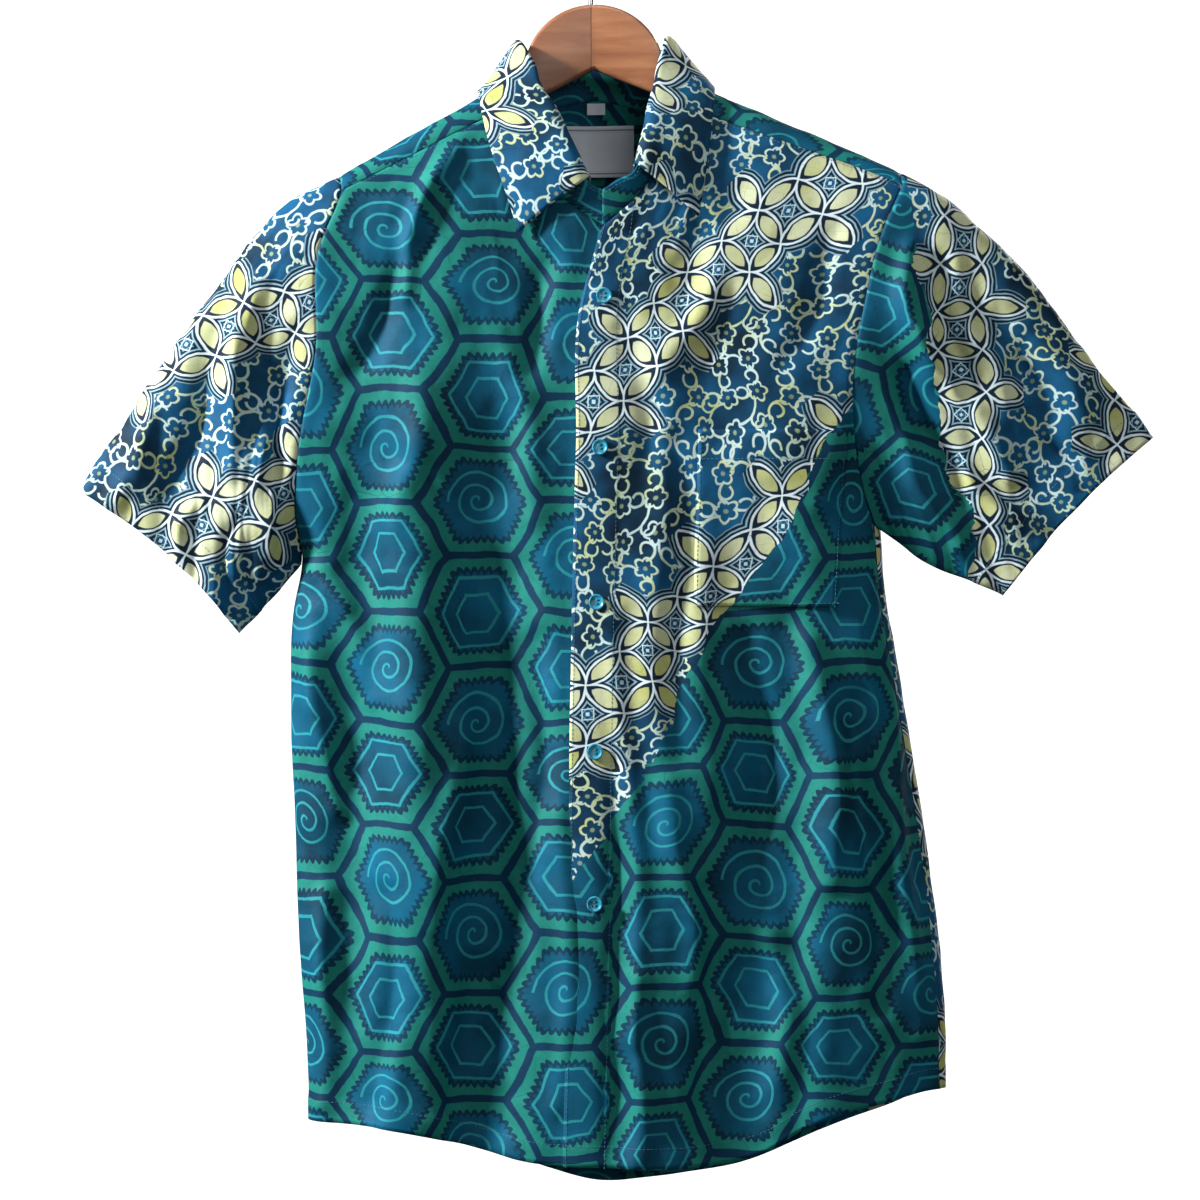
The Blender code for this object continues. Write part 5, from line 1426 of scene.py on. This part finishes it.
def line_on(grid, flip, border, distance, proud=0.12, span=(0.0, 1.0)):
    """A line on a piece's outside, at one distance from one of its borders."""
    normals = cross_normals(grid, flip)
    run = from_borders(grid)[border]
    if border in ("low", "high"):
        run, places, facing = run.T, grid.transpose(1, 0, 2), normals.transpose(1, 0, 2)
    else:
        places, facing = grid, normals
    count = len(run)
    line = []
    for number in range(int(span[0] * (count - 1)), int(span[1] * (count - 1)) + 1):
        order = np.argsort(run[number])
        at = run[number][order]
        spot, out = (
            np.array([np.interp(distance, at, values[number][order, axis]) for axis in range(3)])
            for values in (places, facing)
        )
        line.append(spot + proud * out)
    return np.array(line)


def stitch_tree():
    """Stitches along a line: named sizes in, plain thread mesh out."""
    tree = bpy.data.node_groups.new("stitches", "GeometryNodeTree")
    for name, kind, value in (
        ("Geometry", "NodeSocketGeometry", None), ("Pitch", "NodeSocketFloat", 0.003),
        ("Length", "NodeSocketFloat", 0.002), ("Thickness", "NodeSocketFloat", 0.0004),
        ("Seed", "NodeSocketInt", 5), ("Thread", "NodeSocketMaterial", None),
    ):
        socket = tree.interface.new_socket(name=name, in_out="INPUT", socket_type=kind)
        if value is not None:
            socket.default_value = value
    tree.interface.new_socket(name="Geometry", in_out="OUTPUT", socket_type="NodeSocketGeometry")

    def node(kind, links, **settings):
        made = tree.nodes.new(kind)
        for name, value in settings.items():
            setattr(made, name, value)
        for key, value in links.items():
            if isinstance(value, bpy.types.NodeSocket):
                tree.links.new(value, made.inputs[key])
            else:
                made.inputs[key].default_value = value
        return made

    given = tree.nodes.new("NodeGroupInput").outputs
    even = node(
        "GeometryNodeResampleCurve", {"Curve": given["Geometry"], "Length": given["Pitch"]}, mode="LENGTH"
    )
    bar = node("GeometryNodeMeshUVSphere", {"Segments": 6, "Rings": 5, "Radius": 0.5})
    size = node(
        "ShaderNodeCombineXYZ", {"X": given["Thickness"], "Y": given["Thickness"], "Z": given["Length"]}
    )
    shaped = node("GeometryNodeTransform", {"Geometry": bar.outputs["Mesh"], "Scale": size.outputs[0]})
    tangent = node("GeometryNodeInputTangent", {})
    aligned = node("FunctionNodeAlignEulerToVector", {"Vector": tangent.outputs[0]}, axis="Z")
    uneven = node(
        "FunctionNodeRandomValue", {2: 0.88, 3: 1.1, "Seed": given["Seed"]}, data_type="FLOAT"
    )
    stood = node("GeometryNodeInstanceOnPoints", {
        "Points": even.outputs[0], "Instance": shaped.outputs[0],
        "Rotation": aligned.outputs[0], "Scale": uneven.outputs[1],
    })
    real = node("GeometryNodeRealizeInstances", {"Geometry": stood.outputs[0]})
    smooth = node("GeometryNodeSetShadeSmooth", {"Geometry": real.outputs[0]})
    thread_set = node("GeometryNodeSetMaterial", {"Geometry": smooth.outputs[0], "Material": given["Thread"]})
    tree.links.new(thread_set.outputs[0], tree.nodes.new("NodeGroupOutput").inputs[0])
    return tree


stitches = stitch_tree()


def sewn(name, lines):
    """One mesh of stitches along these lines."""
    paths = bpy.data.curves.new(name, "CURVE")
    paths.dimensions = "3D"
    for points in lines:
        line = paths.splines.new("POLY")
        line.points.add(len(points) - 1)
        weighted = np.column_stack([points * MM, np.ones(len(points))])
        line.points.foreach_set("co", weighted.astype(np.float32).ravel())
    draft = placed(name + "_path", paths)
    sew = draft.modifiers.new("stitches", "NODES")
    sew.node_group = stitches
    wanted = {
        "Pitch": STITCH_PITCH * MM, "Length": STITCH_LENGTH * MM, "Thickness": STITCH_THICK * MM,
        "Seed": len(lines), "Thread": sewing_thread,
    }
    for item in stitches.interface.items_tree:
        if item.in_out == "INPUT" and item.name in wanted:
            sew[item.identifier] = wanted[item.name]
    fasten(placed(name, settled_mesh(draft)))


left, right = front_shown[LEFT][0], front_shown[RIGHT][0]
sewn("placket_stitches", [line_on(left, -1, "last", 30.0), line_on(left, -1, "last", 2.2)])
sewn("hem_stitches", [
    line_on(left, -1, "low", 15.0, span=(0.01, 0.995)), line_on(right, 1, "low", 15.0, span=(0.01, 0.9)),
    line_on(back_shown, -1, "low", 15.0, span=(0.005, 0.995)),
])
cuffs = []
for side in (RIGHT, LEFT):
    shown, flip = sleeve_shown[side], 1 if side == LEFT else -1
    cuffs.append(line_on(np.concatenate([shown, shown[:, :1]], axis=1), flip, "high", 23.0))
sewn("cuff_stitches", cuffs)
sewn("collar_stitches", [
    line_on(leaf_shown, -1, "high", 4.5, span=(0.035, 0.965)),
    *(line_on(leaf_shown, -1, end, 4.5, span=(0.15, 0.95)) for end in ("first", "last")),
    line_on(stand_shown, 1, "high", 3.0, -1.25),
])
front_seam = (0.02, CORNER / CENTRE_COLUMN)
sewn("yoke_stitches", [
    line_on(right, 1, "high", 2.4, span=front_seam), line_on(left, -1, "high", 2.4, span=front_seam),
    line_on(back_shown, -1, "high", 2.4, span=(0.01, 0.99)),
])
sewn("pocket_stitches", [
    line_on(pocket_shown, -1, border, distance, span=span)
    for border, distance, span in (
        ("high", 21.0, (0.03, 0.97)), ("low", 2.2, (0.03, 0.97)),
        ("first", 2.2, (0.01, 0.99)), ("last", 2.2, (0.01, 0.99)),
    )
])

# ---- The studio
# A round pale floor that curves up into a wall on every side, one soft light from the front left,
# weaker ones in front, above and behind, and a level camera in front.
FLOOR_Z, FLOOR_RADIUS, COVE_RADIUS, WALL_TOP, AROUND = -2.1, 6.0, 0.8, 7.0, 64
profile = [(0.5, FLOOR_Z), (FLOOR_RADIUS, FLOOR_Z)]
for n in range(1, 7):
    turn = math.radians(15 * n)
    bend_out, bend_up = COVE_RADIUS * math.sin(turn), COVE_RADIUS - COVE_RADIUS * math.cos(turn)
    profile.append((FLOOR_RADIUS + bend_out, FLOOR_Z + bend_up))
profile.append((FLOOR_RADIUS + COVE_RADIUS, WALL_TOP))
turns = [2 * math.pi * n / AROUND for n in range(AROUND)]
faces = [tuple(range(AROUND))]
for start in range(0, AROUND * (len(profile) - 1), AROUND):
    for n in range(AROUND):
        a, b = start + n, start + (n + 1) % AROUND
        faces.append((a, b, b + AROUND, a + AROUND))
mesh = bpy.data.meshes.new("sweep")
mesh.from_pydata([(out * math.cos(a), out * math.sin(a), z) for out, z in profile for a in turns], [], faces)
paper = Finish("paper", 0.9, Emission_Strength=1.0)
place = paper.node("TexCoord").outputs["Object"]
fibre = paper.noise(place, 40.0, 3.0)
mesh.materials.append(paper.paint(paper.mix(fibre, "#f6f6f6", "#fcfcfc"), 0.85 + fibre * 0.1))
paper.shader.inputs["Emission Color"].default_value = (1, 1, 1, 1)
mesh.shade_smooth()
sweep = placed("sweep", mesh)
sweep.visible_diffuse = sweep.visible_glossy = False

world = bpy.data.worlds.new("studio")
bpy.context.scene.world = world
world.use_nodes = True
world.node_tree.nodes["Background"].inputs["Color"].default_value = (0.95, 0.97, 1.0, 1)
world.node_tree.nodes["Background"].inputs["Strength"].default_value = 0.12
Lamp = namedtuple("Lamp", "name x y z size power")
for lamp in (
    Lamp("key", -2.7, -0.9, 0.8, 0.4, 245.0), Lamp("fill", 0.9, -2.8, 0.4, 1.6, 17.0),
    Lamp("top", 0.2, -0.9, 1.8, 1.0, 14.0), Lamp("back", 1.8, 2.3, 0.8, 0.9, 75.0),
):
    light = bpy.data.lights.new(lamp.name, "AREA")
    light.energy, light.size = lamp.power, lamp.size
    holder = placed(lamp.name, light)
    holder.location = (lamp.x, lamp.y, lamp.z)
    holder.rotation_euler = (Vector((0, 0, -0.48)) - holder.location).to_track_quat("-Z", "Y").to_euler()

camera = placed("camera", bpy.data.cameras.new("camera"))
camera.data.sensor_width, camera.data.lens = 36.0, 126.2
camera.location = (0.0094, -3.03, -0.4904)
camera.rotation_euler = (math.radians(90), 0, 0)
bpy.context.scene.camera = camera
bpy.context.scene.view_settings.view_transform = "Standard"
